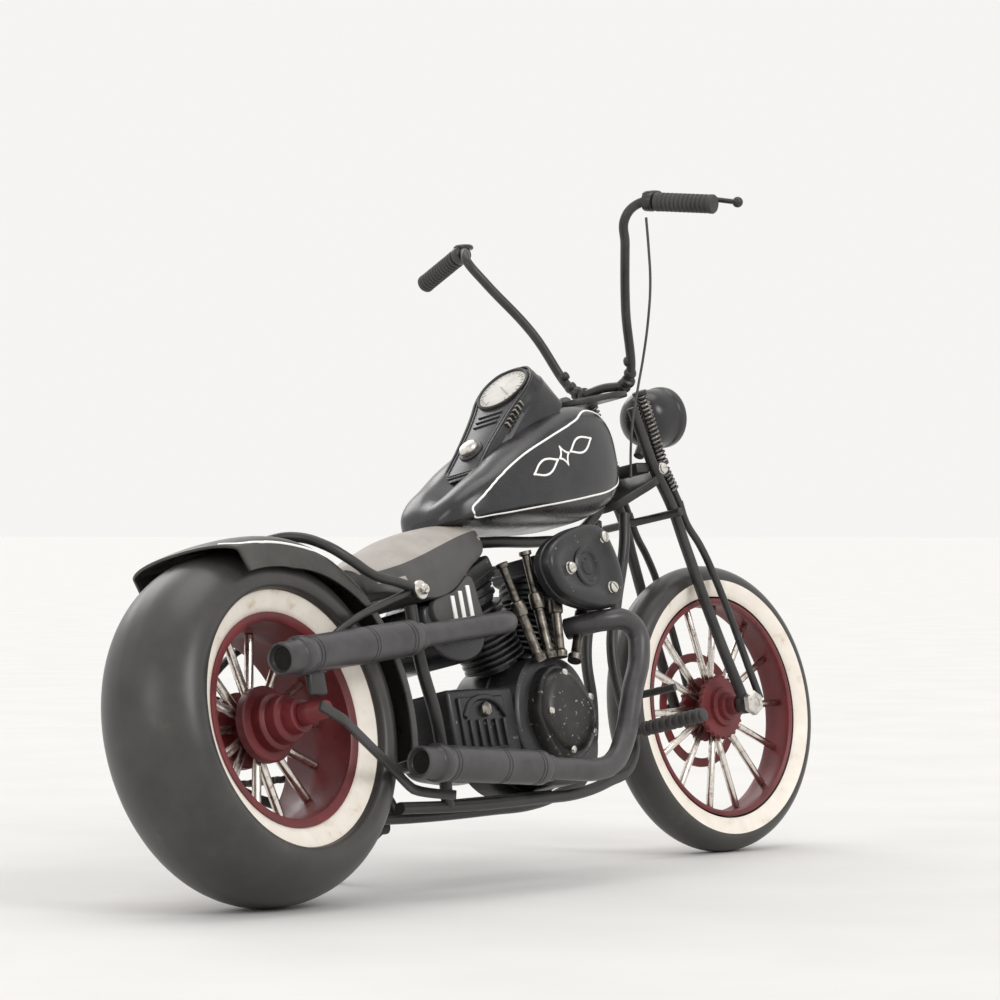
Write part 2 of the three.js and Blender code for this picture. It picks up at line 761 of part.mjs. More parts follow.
// One section across the seat: crowned top, soft edges and a flat underside.
function seatRing([x, half, crown, edge, base]) {
  const right = [
    [0, crown],
    [0.5, crown - (crown - edge) * 0.22],
    [0.84, edge + (crown - edge) * 0.3],
    [1, edge - 0.8],
    [1.02, (edge + base) / 2],
    [0.94, base],
    [0.4, base],
  ];
  const left = [...right].slice(1).reverse().map(([share, z]) => [-share, z]);
  return [...right, ...left].map(([share, z]) => v(x, -share * half, z));
}
const seatShape = skin(
  [
    [49.5, 8.5, 93.0, 90.6, 86.4],
    [52.0, 13.5, 95.0, 90.2, 85.6],
    [60.0, 16.8, 98.4, 89.6, 82.0],
    [70.0, 17.2, 101.8, 91.6, 81.0],
    [80.0, 16.6, 104.0, 94.6, 83.6],
    [92.0, 14.8, 105.6, 98.2, 90.2],
    [101.0, 13.0, 105.8, 100.2, 94.6],
    [105.6, 10.4, 104.8, 101.2, 97.8],
  ].map(seatRing),
);
const boneRoom = tube(backbone, TUBE_R + 0.5, { steps: 22 });
const boltRoom = rod(v(SEAT_BOLT.x, -30, SEAT_BOLT.z), v(SEAT_BOLT.x, 30, SEAT_BOLT.z), 3.0, 12);

// The oil tank lies across the bike under the seat, round below, with flat sides.
const oilOutline = rounded(
  [
    [66.5, 79.0],
    [67.0, 70.0],
    [72.0, 64.4],
    [82.0, 62.6],
    [90.5, 65.4],
    [94.4, 72.0],
    [93.2, 80.0],
    [89.5, 86.4],
    [84.5, 82.6],
    [76.0, 79.6],
  ],
  22,
);
const oilTank = cut(plate(oilOutline, -14.6, 14.6, 0.8), boneRoom);
add(bike, "oil_tank", oilTank, blackEnamel);

// ---- Fuel tank and dash ----

// Sections along the tank: [x, half width, top z, bottom z, height of the widest line]. The rear
// is flat across the top, the nose rounder.
const tankRings = [
  [92.0, 3.4, 106.0, 104.6, 105.2],
  [94.0, 7.0, 107.4, 104.4, 105.6],
  [98.0, 10.8, 109.4, 104.4, 106.4],
  [104.0, 13.8, 112.4, 104.4, 107.4],
  [112.0, 16.4, 118.2, 104.4, 109.2],
  [122.0, 18.6, 125.2, 104.4, 112.2],
  [136.0, 20.2, 133.0, 104.4, 116.4],
  [150.0, 20.8, 139.2, 104.7, 120.4],
  [161.0, 19.6, 142.0, 105.8, 123.2],
  [170.0, 16.8, 141.6, 109.0, 125.0],
  [176.0, 13.0, 138.6, 113.2, 125.8],
  [180.0, 8.4, 134.2, 118.4, 126.2],
];
function tankRing([x, half, top, bottom, wide]) {
  const n = 18;
  return Array.from({ length: n }, (_, i) => {
    const a = (2 * Math.PI * i) / n;
    const c = Math.cos(a);
    const s = Math.sin(a);
    const up = s > 0 ? top - wide : wide - bottom;
    const fullness = s > 0 ? THREE.MathUtils.mapLinear(x, 92, 180, 0.55, 0.9) : 0.72;
    return v(
      x,
      half * Math.sign(c) * Math.abs(c) ** fullness,
      wide + up * Math.sign(s) * Math.abs(s) ** fullness,
    );
  });
}
const neckRoom = aim(
  new THREE.CylinderGeometry(NECK_R + 0.9, NECK_R + 0.9, 60, 14),
  onNeck(130),
  steeringAxis,
);
const tankSlot = box(170, 190, -(NECK_R + 0.9), NECK_R + 0.9, 100, 150);

const tankRoom = skin(
  tankRings.map(([x, half, top, bottom, wide], i) =>
    tankRing([x + (i ? GAP : -GAP), half + GAP, top + GAP, bottom - GAP, wide]),
  ),
);
add(bike, "seat", cut(seatShape, boneRoom, boltRoom, tankRoom), seatPaint);

// The console rises off the tank's back to carry the dial; its top plane is tilted back.
const DASH_TILT = 42;
const DASH_FOOT = v(112.6, 0, 120.2); // rear lower end of the console's top plane
const dashUp = v(Math.cos(radians(DASH_TILT)), 0, Math.sin(radians(DASH_TILT)));
const dashOut = v(-Math.sin(radians(DASH_TILT)), 0, Math.cos(radians(DASH_TILT)));
const onDash = (u, y, w = 0) =>
  DASH_FOOT.clone().addScaledVector(dashUp, u).addScaledVector(dashOut, w).setY(y);
const DASH_LENGTH = 54.4;
const DIAL_U = 43.5;
const KNOB_U = 13.6;
const DIAL_R = 8.5;
// Rings across the console from its foot to its rounded top: [u, half width above, half width below].
const dashRings = [
  [0.0, 6.8, 8.4],
  [1.2, 7.4, 9.0],
  [14, 7.8, 10.0],
  [28, 8.8, 11.2],
  [35, 9.8, 12.2],
  [41, 10.9, 13.2],
  [46, 10.6, 13.2],
  [50, 9.0, 10.6],
  [53, 5.6, 6.6],
  [DASH_LENGTH, 2.4, 3.2],
].map(([u, above, below]) => [
  onDash(u, -above + 0.8, 0),
  onDash(u, above - 0.8, 0),
  onDash(u, above, -1.0),
  onDash(u, below, -21),
  onDash(u, -below, -21),
  onDash(u, -above, -1.0),
]);
const dashShape = skin(dashRings);
const fuelTank = cut(skin(tankRings.map(tankRing)), neckRoom, tankSlot);
const dash = cut(dashShape, fromSolid(toSolid(skin(
  tankRings.map(([x, half, top, bottom, wide]) => tankRing([x, half + GAP, top + GAP, bottom - 40, wide])),
))));
const dialWell = aim(
  new THREE.CylinderGeometry(DIAL_R + GAP, DIAL_R + GAP, 2, 24),
  onDash(DIAL_U, 0, 0.2),
  dashOut,
);
const capRoom = aim(new THREE.CylinderGeometry(1.4, 1.4, 3, 12), onDash(KNOB_U, 0, 0), dashOut);
add(bike, "fuel_tank", fuelTank, blackEnamel);
add(bike, "dash_console", cut(dash, dialWell, capRoom), blackEnamel);
add(
  bike,
  "dial",
  aim(new THREE.CylinderGeometry(DIAL_R, DIAL_R, 0.8, 24), onDash(DIAL_U, 0, 0.0), dashOut),
  whiteDial,
);
const knob = turned([
  [0, -1.2],
  [1.0, -1.2],
  [1.0, 0.3],
  [2.9, 0.3],
  [3.1, 2.0],
  [2.7, 2.7],
  [0, 2.9],
], 16);
add(bike, "dash_knob", aim(knob, onDash(KNOB_U, 0, 0.1), dashOut), brightMetal);

// ---- Engine ----

const CRANK = v(122, 0, 47);
const V_ANGLE = 22.5; // each cylinder from vertical
const crankOutline = rounded(
  [
    [103.5, 40],
    [107, 31],
    [116, 25.6],
    [130, 25.2],
    [139, 30],
    [142.4, 40],
    [141.5, 51],
    [136, 60],
    [127, 63.4],
    [116, 63.0],
    [108, 57],
    [104, 49],
  ],
  24,
);
add(bike, "crankcase", plate(crankOutline, -13.2, 13.2, 1.0), blackEnamel);

// A cylinder with cooling fins, its head and a rocker box, from the crankcase out.
function cylinder(lean) {
  const fins = [[0, 0], [6.6, 0]];
  for (let i = 0; i < 5; i++) {
    const y = 2.4 + i * 3.7;
    fins.push([6.6, y], [9.6, y + 0.1], [9.6, y + 1.6], [6.6, y + 1.7]);
  }
  fins.push([6.6, 21.6], [8.6, 22.0], [8.6, 27.0], [0, 27.0]);
  const barrel = turned(fins, 12);
  const way = v(Math.sin(radians(lean)), 0, Math.cos(radians(lean)));
  const base = CRANK.clone().addScaledVector(way, 17.6);
  const rocker = new THREE.BoxGeometry(15, 7.6, 17.4).translate(0, 29.6, 0);
  return aim(join(barrel, rocker), base, way);
}
const crankRoom = plate(rounded([
  [103.1, 40], [106.6, 30.8], [116, 25.2], [130, 24.8], [139.4, 29.8], [142.8, 40],
  [141.9, 51.2], [136.3, 60.4], [127, 63.8], [116, 63.4], [107.7, 57.3], [103.6, 49.2],
], 24), -14, 14);
const rearCylinder = cut(cylinder(-V_ANGLE), crankRoom, boneRoom);
const frontCylinder = cut(cylinder(V_ANGLE), crankRoom, boneRoom);
const betweenCylinders = box(CRANK.x - 0.2, CRANK.x + 0.2, -20, 20, 40, 110);
const frontOfPlane = box(CRANK.x - 60, CRANK.x - 0.2, -20, 20, 40, 110);
const behindPlane = box(CRANK.x + 0.2, CRANK.x + 60, -20, 20, 40, 110);
add(bike, "rear_cylinder", cut(rearCylinder, betweenCylinders, behindPlane), blackSteel);
add(bike, "front_cylinder", cut(frontCylinder, betweenCylinders, frontOfPlane), blackSteel);

// Pushrod tubes with a collar, from the timing chest up to the rocker boxes.
const PUSH_Y = -15.0;
const pushrods = [
  ["rear_outer", v(106.6, PUSH_Y, 91.4), v(115.6, PUSH_Y - 0.4, 63.8)],
  ["rear_inner", v(119.4, PUSH_Y, 95.0), v(121.4, PUSH_Y - 0.4, 64.6)],
  ["front_inner", v(131.6, PUSH_Y, 91.0), v(127.2, PUSH_Y - 0.4, 64.6)],
  ["front_outer", v(148.6, PUSH_Y, 86.0), v(134.6, PUSH_Y - 0.4, 63.0)],
];
for (const [name, top, foot] of pushrods) {
  const length = top.distanceTo(foot);
  const shape = turned([
    [0, 0],
    [1.5, 0],
    [1.5, length * 0.42],
    [2.1, length * 0.44],
    [2.1, length * 0.58],
    [1.25, length * 0.6],
    [1.25, length],
    [0, length],
  ], 10);
  const piece = aim(shape, foot, top.clone().sub(foot));
  add(bike, `pushrod_${name}`, cut(piece, toRoom()), wornMetal);
}

// Room round both cylinders, for pieces that pass close by their sides.
function toRoom() {
  return box(90, 160, -13.2, 13.2, 60, 110);
}

const timingOutline = rounded(
  [
    [108.6, 47.0],
    [111.6, 37.0],
    [118.0, 31.2],
    [127.0, 31.4],
    [133.8, 37.4],
    [136.4, 46.0],
    [131.4, 54.4],
    [122.6, 60.0],
    [114.4, 57.4],
  ],
  22,
);
add(bike, "timing_cover", plate(timingOutline, -20.6, -13.2 - GAP, 1.6), wornMetal);

// The air cleaner is a rounded triangle on a short neck, with three bolts as one cast piece.
const AIR = [134.8, 88.0];
const airOutline = rounded(
  [
    [117.2, 88.6],
    [122.0, 80.4],
    [134.0, 76.4],
    [146.0, 75.6],
    [152.6, 79.6],
    [153.6, 88.6],
    [149.4, 98.6],
    [143.0, 101.4],
    [132.0, 99.6],
    [121.0, 95.0],
  ],
  24,
);
const airBolts = [[126.6, 87.6], [146.6, 97.0], [146.4, 81.4]];
const airCleaner = join(
  plate(airOutline, -25.4, -18.4, 1.6),
  ...airBolts.map(([x, z]) => rod(v(x, -26.6, z), v(x, -24.0, z), 1.7, 8)),
  rod(v(AIR[0], -19.0, AIR[1]), v(AIR[0], -11.4, AIR[1]), 4.0, 12),
);
const cylinderRoom = toSolid(rearCylinder).add(toSolid(frontCylinder));
const airRoom = fromSolid(cylinderRoom);
const pushRoom = pushrods.map(([, top, foot]) => rod(foot, top, 2.6, 10));
add(
  bike,
  "air_cleaner",
  cut(airCleaner, airRoom, ...pushRoom, box(100, 170, -13.6, 20, 70, 110)),
  blackEnamel,
);

// ---- Gearbox, primary cover and chain ----

const OUT_SPROCKET = v(76, 0, 45);
const OUT_R = 5.0;
const gearbox = join(
  box(71.5, 103.0, -13.4, 11.8, 34.8, 55.0),
  box(74.5, 96.0, -15.0, -13.0, 37.0, 52.4),
  turned([
    [0, 11],
    [2.4, 11],
    [2.4, SPROCKET_Y - 0.6],
    [OUT_R, SPROCKET_Y - 0.5],
    [OUT_R, SPROCKET_Y + 0.5],
    [0, SPROCKET_Y + 0.5],
  ], 12).translate(OUT_SPROCKET.x, 0, OUT_SPROCKET.z),
);
add(bike, "gearbox", gearbox, blackEnamel);
const primaryOutline = rounded(
  [
    [84, 44],
    [88, 35],
    [98, 32],
    [112, 31],
    [126, 33],
    [134, 40],
    [135, 48],
    [129, 57],
    [117, 60],
    [100, 56],
    [88, 53],
  ],
  24,
);
add(bike, "primary_cover", plate(primaryOutline, 13.2 + GAP, 20.6, 1.6), wornMetal);
// The chain runs round both sprockets, as one band with a gap to their teeth.
function chainLoop() {
  const big = SPROCKET_R + CHAIN_R + GAP;
  const small = OUT_R + CHAIN_R + GAP;
  const points = [];
  for (let i = 0; i <= 8; i++) {
    const a = Math.PI * (0.5 + i / 8);
    points.push(v(big * Math.cos(a), SPROCKET_Y, REAR_R + big * Math.sin(a)));
  }
  for (let i = 0; i <= 6; i++) {
    const a = Math.PI * (-0.5 + i / 6);
    points.push(v(OUT_SPROCKET.x + small * Math.cos(a), SPROCKET_Y, OUT_SPROCKET.z + small * Math.sin(a)));
  }
  return tube(points, CHAIN_R, { sides: 5, steps: 40, closed: true });
}
add(bike, "drive_chain", chainLoop(), wornMetal);

// ---- Exhausts ----

const MUFFLER_Y = -26.2;
const MUFFLER_R = 5.1;
const TIP_R = 4.5;
const PIPE_R = 3.3;
// A muffler turned about its own line: a stepped tip, the body, then the pipe's collar.
function muffler(length) {
  return turned([
    [0, 0.6],
    [TIP_R - 1.0, 0.6],
    [TIP_R - 1.0, 0],
    [TIP_R, 0.4],
    [TIP_R, 6.4],
    [MUFFLER_R + 0.3, 7.0],
    [MUFFLER_R + 0.3, 10.0],
    [MUFFLER_R, 10.6],
    [MUFFLER_R, length],
    [MUFFLER_R - 0.8, length + 0.8],
    [PIPE_R + 0.6, length + 1.0],
    [PIPE_R + 0.6, length + 4.4],
    [0, length + 4.4],
  ], 12);
}
const UPPER_TIP = v(-15.0, MUFFLER_Y, 63.6);
const UPPER_END = v(89.6, MUFFLER_Y + 1.2, 71.8);
const upperWay = UPPER_END.clone().sub(UPPER_TIP).normalize();
const upperExhaust = join(
  aim(muffler(59), UPPER_TIP, upperWay),
  rod(UPPER_TIP.clone().addScaledVector(upperWay, 62), UPPER_END, PIPE_R, 12),
  aim(
    new THREE.SphereGeometry(PIPE_R, 12, 8),
    UPPER_END,
    upperWay,
  ),
  // The pipe's hidden end turns in towards the rear cylinder.
  tube(
    [UPPER_END.clone().addScaledVector(upperWay, -2), v(94.0, -22.6, 74.0), v(97.4, -17.2, 77.4)],
    PIPE_R * 0.86,
    { sides: 10, steps: 6 },
  ),
  // The bracket that hangs the muffler from the axle's nose.
  box(-5.0, 4.0, MUFFLER_Y - 0.6, MUFFLER_Y + 2.4, 53.6, 62.0),
);
add(bike, "upper_exhaust", cut(upperExhaust, airRoom, toRoom()), blackSteel);

const LOWER_TIP = v(36.0, MUFFLER_Y, 33.2);
const LOWER_BODY_END = v(96.0, MUFFLER_Y, 28.4);
const lowerWay = LOWER_BODY_END.clone().sub(LOWER_TIP).normalize();
const lowerPipe = [
  LOWER_BODY_END,
  v(108.0, MUFFLER_Y, 27.4),
  v(119.0, MUFFLER_Y, 26.8),
  v(128.4, MUFFLER_Y, 28.6),
  v(135.4, MUFFLER_Y, 34.4),
  v(145.2, MUFFLER_Y, 49.6),
  v(152.8, MUFFLER_Y, 61.6),
  v(153.2, MUFFLER_Y + 0.2, 68.0),
  v(148.4, MUFFLER_Y + 1.4, 71.6),
  v(140.0, MUFFLER_Y + 5.0, 71.6),
  v(134.0, MUFFLER_Y + 10.4, 71.0),
];
const lowerExhaust = join(
  aim(muffler(56), LOWER_TIP, lowerWay),
  tube(lowerPipe, PIPE_R, { sides: 8, steps: 16 }),
);
add(bike, "lower_exhaust", cut(lowerExhaust, ...pushRoom, toRoom()), blackSteel);

// ---- Foot pegs ----

const PEG = v(164.4, 0, 39.2);
for (const [side, down] of [["right", -1], ["left", 1]]) {
  const ribs = [[0, 13.0], [1.3, 13.0], [1.3, 14.4]];
  for (let i = 0; i < 4; i++) {
    const y = 14.6 + i * 5.6;
    ribs.push([2.2, y], [2.2, y + 3.6], [1.8, y + 3.8], [1.8, y + 5.4]);
  }
  ribs.push([2.0, 37.2], [0, 37.4]);
  const peg = turned(ribs.map(([r, y]) => [r, down * y]), 10).translate(PEG.x, 0, PEG.z);
  const tubeRoom = tube(side === "right" ? cradle : mirrored(cradle), TUBE_R + GAP, { steps: 26 });
  add(bike, `foot_peg_${side}`, cut(peg, tubeRoom), blackRubber);
}

// ---- Side stand ----

const STAND_PIVOT = v(67, 14.6, 20.6);
const STAND_FOOT_X = 66;
const STAND_FOOT_Y = 38;
const PAD = 1.6; // the foot's thickness; its sole lies flat on the floor
const floorZ = (y) => (y * Math.sin(radians(LEAN)) - SETTLE) / Math.cos(radians(LEAN));
const standFoot = v(STAND_FOOT_X, STAND_FOOT_Y, floorZ(STAND_FOOT_Y));
const sideStand = join(
  tube([STAND_PIVOT, v(66.6, 26, 15.0), standFoot.clone().add(v(0, -1.2, 2.0))], 1.4, { sides: 6, steps: 4 }),
  rod(v(67, 14.0, 19.2), v(67, 15.1, 22.0), 2.3, 10),
  new THREE.CylinderGeometry(3.2, 3.2, PAD, 14)
    .rotateX(Math.PI / 2)
    .translate(0, 0, PAD / 2)
    .rotateX(radians(LEAN))
    .translate(standFoot.x, standFoot.y, standFoot.z),
);
add(bike, "side_stand", sideStand, blackSteel);

// ---- Turn the fork, lean the bike and centre the part ----

turnAbout(bars, v(BAR_BASE.x, 0, 185), v(1, 0, 0), BAR_TILT);
turnAbout(fork, steeringPoint, steeringAxis, STEER);
bike.rotation.x = radians(-LEAN);

const motorcycle = new THREE.Group();
motorcycle.add(bike);
motorcycle.updateMatrixWorld(true);
const bounds = new THREE.Box3().setFromObject(motorcycle, true);
bike.position.set(
  -(bounds.min.x + bounds.max.x) / 2,
  -(bounds.min.y + bounds.max.y) / 2,
  -bounds.min.z,
);

export default motorcycle;
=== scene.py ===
# %% [markdown]
# A hand-made metal motorcycle, leaning on its side stand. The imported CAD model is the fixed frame:
# it says where every piece is and what it moves with. This lesson makes the looks of each piece.

import json
import math

import bmesh
import bpy
from mathutils import Matrix, Vector
from mathutils.kdtree import KDTree

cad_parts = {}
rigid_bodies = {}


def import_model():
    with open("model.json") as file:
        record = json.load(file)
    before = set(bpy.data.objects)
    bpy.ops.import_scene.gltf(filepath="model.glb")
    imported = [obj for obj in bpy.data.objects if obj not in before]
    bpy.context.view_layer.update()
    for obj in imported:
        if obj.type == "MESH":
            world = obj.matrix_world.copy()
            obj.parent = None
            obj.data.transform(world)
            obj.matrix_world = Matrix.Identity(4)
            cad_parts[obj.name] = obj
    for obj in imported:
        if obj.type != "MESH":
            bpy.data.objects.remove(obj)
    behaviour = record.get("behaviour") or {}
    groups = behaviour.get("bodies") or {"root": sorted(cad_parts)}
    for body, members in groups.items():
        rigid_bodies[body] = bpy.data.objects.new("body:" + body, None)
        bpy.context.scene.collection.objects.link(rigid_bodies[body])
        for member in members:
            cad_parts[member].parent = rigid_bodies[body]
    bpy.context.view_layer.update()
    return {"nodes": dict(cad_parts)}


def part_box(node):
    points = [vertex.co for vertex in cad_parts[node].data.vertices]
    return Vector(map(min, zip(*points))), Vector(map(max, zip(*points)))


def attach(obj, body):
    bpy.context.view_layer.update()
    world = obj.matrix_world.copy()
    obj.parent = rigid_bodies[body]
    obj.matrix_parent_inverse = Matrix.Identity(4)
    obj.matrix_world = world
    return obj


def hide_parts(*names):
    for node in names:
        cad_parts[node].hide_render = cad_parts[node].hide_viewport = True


for thing in list(bpy.data.objects):  # what a new file starts with
    bpy.data.objects.remove(thing)
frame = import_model()
bpy.ops.object.select_all(action="DESELECT")
print("nodes in the frame:", len(frame["nodes"]))

# %% [markdown]
# The bike is easiest to draw standing upright, in millimetres: X forwards, Y to the rider's left,
# Z up, from the point where the rear tyre meets the ground. Three turns then put a drawn piece in
# its place: the lean, the turned fork, and the handlebar that sits a little crooked in the fork.

# %% Where upright pieces go
MM = 0.001
LEAN = math.radians(13.16)
RAKE = math.radians(26.07)
STEER = math.radians(-7.03)
BAR_TILT = math.radians(1.3)
WHEEL_TILT = math.radians(2.43)
REAR_AXLE = Vector((0, 0, 49.53))
FRONT_AXLE = Vector((225, 0, 46.23))


def turn_about(point, axis, angle):
    """A turn about a line through point, in millimetres."""
    to_point = Matrix.Translation(Vector(point))
    return to_point @ Matrix.Rotation(angle, 4, Vector(axis)) @ to_point.inverted()


lean = Matrix.Rotation(-LEAN, 4, "X")
low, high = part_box("rear_axle")
rear_axle_place = (low + high) / 2
BIKE = Matrix.Translation(rear_axle_place) @ lean @ Matrix.Translation(-REAR_AXLE * MM) @ Matrix.Scale(MM, 4)
FORK = BIKE @ turn_about((157.96, 0, 180), (-math.sin(RAKE), 0, math.cos(RAKE)), STEER)
BARS = FORK @ turn_about((196.2, 0, 185), (1, 0, 0), BAR_TILT)
FRONT_WHEEL = FORK @ Matrix.Translation(FRONT_AXLE) @ Matrix.Rotation(WHEEL_TILT, 4, "X")
REAR_WHEEL = BIKE @ Matrix.Translation(REAR_AXLE)
print("rear axle at", [round(c, 4) for c in rear_axle_place])

# %% [markdown]
# Materials come first. Colours are written as sRGB hex, as a painter would pick them, and turned to
# the linear values that the shader works in. One helper adds a node with its settings and links.

# %% Colour and node helpers


def linear(hex_colour, alpha=1.0):
    """sRGB hex to linear RGBA."""
    parts = [int(hex_colour[i : i + 2], 16) / 255 for i in (1, 3, 5)]
    return tuple(c / 12.92 if c <= 0.04045 else ((c + 0.055) / 1.055) ** 2.4 for c in parts) + (alpha,)


def add_node(material, kind, settings=None, **links):
    """Adds a node. settings sets its properties and inputs; links joins outputs to its inputs."""
    node = material.node_tree.nodes.new(kind)
    for key, value in (settings or {}).items():
        if isinstance(key, str) and hasattr(node, key):
            setattr(node, key, value)
        else:
            node.inputs[key].default_value = value
    for name, output in links.items():
        material.node_tree.links.new(output, node.inputs[name.replace("_", " ")])
    return node


def ramp(material, source, stops):
    """A colour ramp with (position, grey or hex) stops."""
    node = add_node(material, "ShaderNodeValToRGB", Fac=source)
    elements = node.color_ramp.elements
    while len(elements) < len(stops):
        elements.new(0.5)
    for element, (position, colour) in zip(elements, stops):
        element.position = position
        element.color = linear(colour) if isinstance(colour, str) else (colour, colour, colour, 1)
    return node.outputs["Color"]


def new_material(name, roughness=0.5, metallic=0.0, **shader):
    """A material with its shader and its Object coordinates."""
    material = bpy.data.materials.new(name)
    material.use_nodes = True
    surface = material.node_tree.nodes["Principled BSDF"]
    surface.inputs["Roughness"].default_value = roughness
    surface.inputs["Metallic"].default_value = metallic
    for key, value in shader.items():
        surface.inputs[key.replace("_", " ")].default_value = value
    place = add_node(material, "ShaderNodeTexCoord").outputs["Object"]
    return material, surface, place


def wire(material, output, surface, socket):
    material.node_tree.links.new(output, surface.inputs[socket])


def bump(material, surface, height, strength, distance_mm):
    node = add_node(
        material,
        "ShaderNodeBump",
        {"Strength": strength, "Distance": distance_mm * MM},
        Height=height,
    )
    wire(material, node.outputs["Normal"], surface, "Normal")


# %% [markdown]
# Brushed enamel is paint put on by hand over metal. It is nearly black, with cloudy patches where it
# went on thinner, fine dust in the hollows, and small chips where the metal or primer shows.

# %% Enamels
PATCH_MM = 9  # size of a cloudy patch
CHIP_MM = 1.6  # size of a chip
GRAIN_MM = 0.35  # brush marks and dust, drawn a little coarse so that they show
RUB_MM = 2.4  # worn marks on bare metal
BLOOM_MM = 14  # clouds of dust on the tyres
PIT_MM = 0.8  # fine pits in the rubber
STAIN_MM = 6  # yellowed patches on the cream paint
FADE_MM = 5  # faded patches on the dial card
CUP_SHADE_MM = 1.5  # size of the mottling in the painted shade on the mufflers' cup floors


def brushed_enamel(name, dark, light, chip, chips=0.72, roughness=(0.3, 0.5), grain=0.12, metallic=0.0):
    """Hand-brushed enamel: a cloudy base, chips to another colour, and an uneven gloss."""
    material, surface, place = new_material(name, metallic=metallic)
    clouds = add_node(
        material,
        "ShaderNodeTexNoise",
        {"Scale": 1 / (PATCH_MM * MM), "Detail": 6.0, "Roughness": 0.6},
        Vector=place,
    )
    base = ramp(material, clouds.outputs["Fac"], [(0.3, dark), (0.72, light)])
    spots = add_node(
        material,
        "ShaderNodeTexNoise",
        {"Scale": 1 / (CHIP_MM * MM), "Detail": 5.0, "Roughness": 0.7},
        Vector=place,
    )
    chipped = ramp(material, spots.outputs["Fac"], [(chips, 0.0), (chips + 0.03, 1.0)])
    mix = add_node(material, "ShaderNodeMix", {"data_type": "RGBA"})
    links = material.node_tree.links
    links.new(chipped, mix.inputs["Factor"])
    links.new(base, mix.inputs[6])
    mix.inputs[7].default_value = linear(chip)
    wire(material, mix.outputs[2], surface, "Base Color")
    gloss = add_node(
        material,
        "ShaderNodeMapRange",
        {"From Min": 0.3, "From Max": 0.7, "To Min": roughness[0], "To Max": roughness[1]},
        Value=clouds.outputs["Fac"],
    )
    wire(material, gloss.outputs["Result"], surface, "Roughness")
    fine = add_node(
        material, "ShaderNodeTexNoise", {"Scale": 1 / (GRAIN_MM * MM), "Detail": 2.0}, Vector=place
    )
    bump(material, surface, fine.outputs["Fac"], grain, 0.08)
    return material


# Tank, console, oil tank and lamp: the smoothest black, kept glossy.
body_enamel = brushed_enamel(
    "semi_gloss_black_enamel",
    "#1c1b1d",
    "#2e2c2f",
    "#4d4a48",
    chips=0.74,
    roughness=(0.2, 0.34),
    grain=0.06,
)
# Rods and brackets: brushed on thin, so it chips more and shines less.
frame_enamel = brushed_enamel(
    "satin_black_enamel", "#1e1d1e", "#383736", "#6a655f", chips=0.69, roughness=(0.3, 0.46)
)
# Castings: the darkest, rubbed back so that pale metal shows on the fins.
engine_enamel = brushed_enamel(
    "rubbed_black_enamel", "#171718", "#2d2c2e", "#8f897f", chips=0.66, roughness=(0.26, 0.45)
)
# Exhausts: greyer, as heat-proof paint is.
exhaust_enamel = brushed_enamel(
    "grey_black_exhaust_enamel", "#2f2d2f", "#494748", "#716c66", chips=0.71, roughness=(0.28, 0.42)
)
# Fender: warm with dust, over a glossy sheet.
fender_enamel = brushed_enamel(
    "dusty_black_enamel", "#2d2c2a", "#484541", "#68625a", chips=0.76, roughness=(0.24, 0.4), grain=0.06
)
# Rims and hubs: deep red-brown, put on with a stiff brush.
wheel_red = brushed_enamel(
    "brushed_oxide_red_enamel",
    "#561a1f",
    "#76292c",
    "#3f1418",
    chips=0.64,
    roughness=(0.35, 0.55),
    grain=0.25,
)
# Pinstripes and bars: thick lining paint.
stripe_white = brushed_enamel(
    "white_lining_paint", "#eeebe6", "#ffffff", "#cfc8be", chips=0.74, roughness=(0.4, 0.5)
)
# Seat: one grey paint, a lighter copy on top as painted highlight and a darker copy on its sides as painted
# shade.
seat_top_lit_grey = brushed_enamel(
    "seat_grey_painted_highlight",
    "#938d87",
    "#aca59e",
    "#65605b",
    chips=0.74,
    roughness=(0.42, 0.55),
    grain=0.2,
)
seat_side_grey = brushed_enamel(
    "dark_grey_seat_paint",
    "#3a3939",
    "#504e4d",
    "#75706a",
    chips=0.72,
    roughness=(0.4, 0.55),
    grain=0.2,
)

# %% [markdown]
# Bare metal is left on the spokes, screws and springs. Cast covers were painted and then rubbed back,
# so bright metal shows on what stands proud and a dark wash stays in the hollows.

# %% Metals


def bare_metal(name, colour, dark, roughness, wash=0.5):
    """Bright metal under a dark wash."""
    material, surface, place = new_material(name, roughness=roughness, metallic=1.0)
    marks = add_node(
        material,
        "ShaderNodeTexNoise",
        {"Scale": 1 / (RUB_MM * MM), "Detail": 8.0, "Roughness": 0.68},
        Vector=place,
    )
    wire(
        material,
        ramp(material, marks.outputs["Fac"], [(wash - 0.12, dark), (wash + 0.1, colour)]),
        surface,
        "Base Color",
    )
    bump(material, surface, marks.outputs["Fac"], 0.15, 0.15)
    return material


spoke_metal = bare_metal("turned_nickel_spokes", "#e2dcd4", "#8a6f66", 0.24, wash=0.4)
screw_metal = bare_metal("zinc_plated_screws", "#dedbd4", "#8e8a82", 0.34, wash=0.4)
spring_metal = bare_metal("dark_spring_wire", "#9a9691", "#4a4745", 0.34)
# Covers: dark paint burnished until some of it shines like metal.
cover_enamel = brushed_enamel(
    "burnished_cover_enamel",
    "#1d1c1d",
    "#3b3938",
    "#b3aca1",
    chips=0.63,
    roughness=(0.24, 0.42),
    metallic=0.35,
)
rubbed_metal = bare_metal("rubbed_cast_metal", "#a8a298", "#3a3735", 0.36, wash=0.5)
tube_metal = bare_metal("dull_steel_tube", "#8a847b", "#45413c", 0.36, wash=0.48)

# %% [markdown]
# Tyres are smooth black rubber with a bloom of dust, which turns the black to a soft warm grey. The
# sidewall band is cream paint, yellowed and thin at its edges.

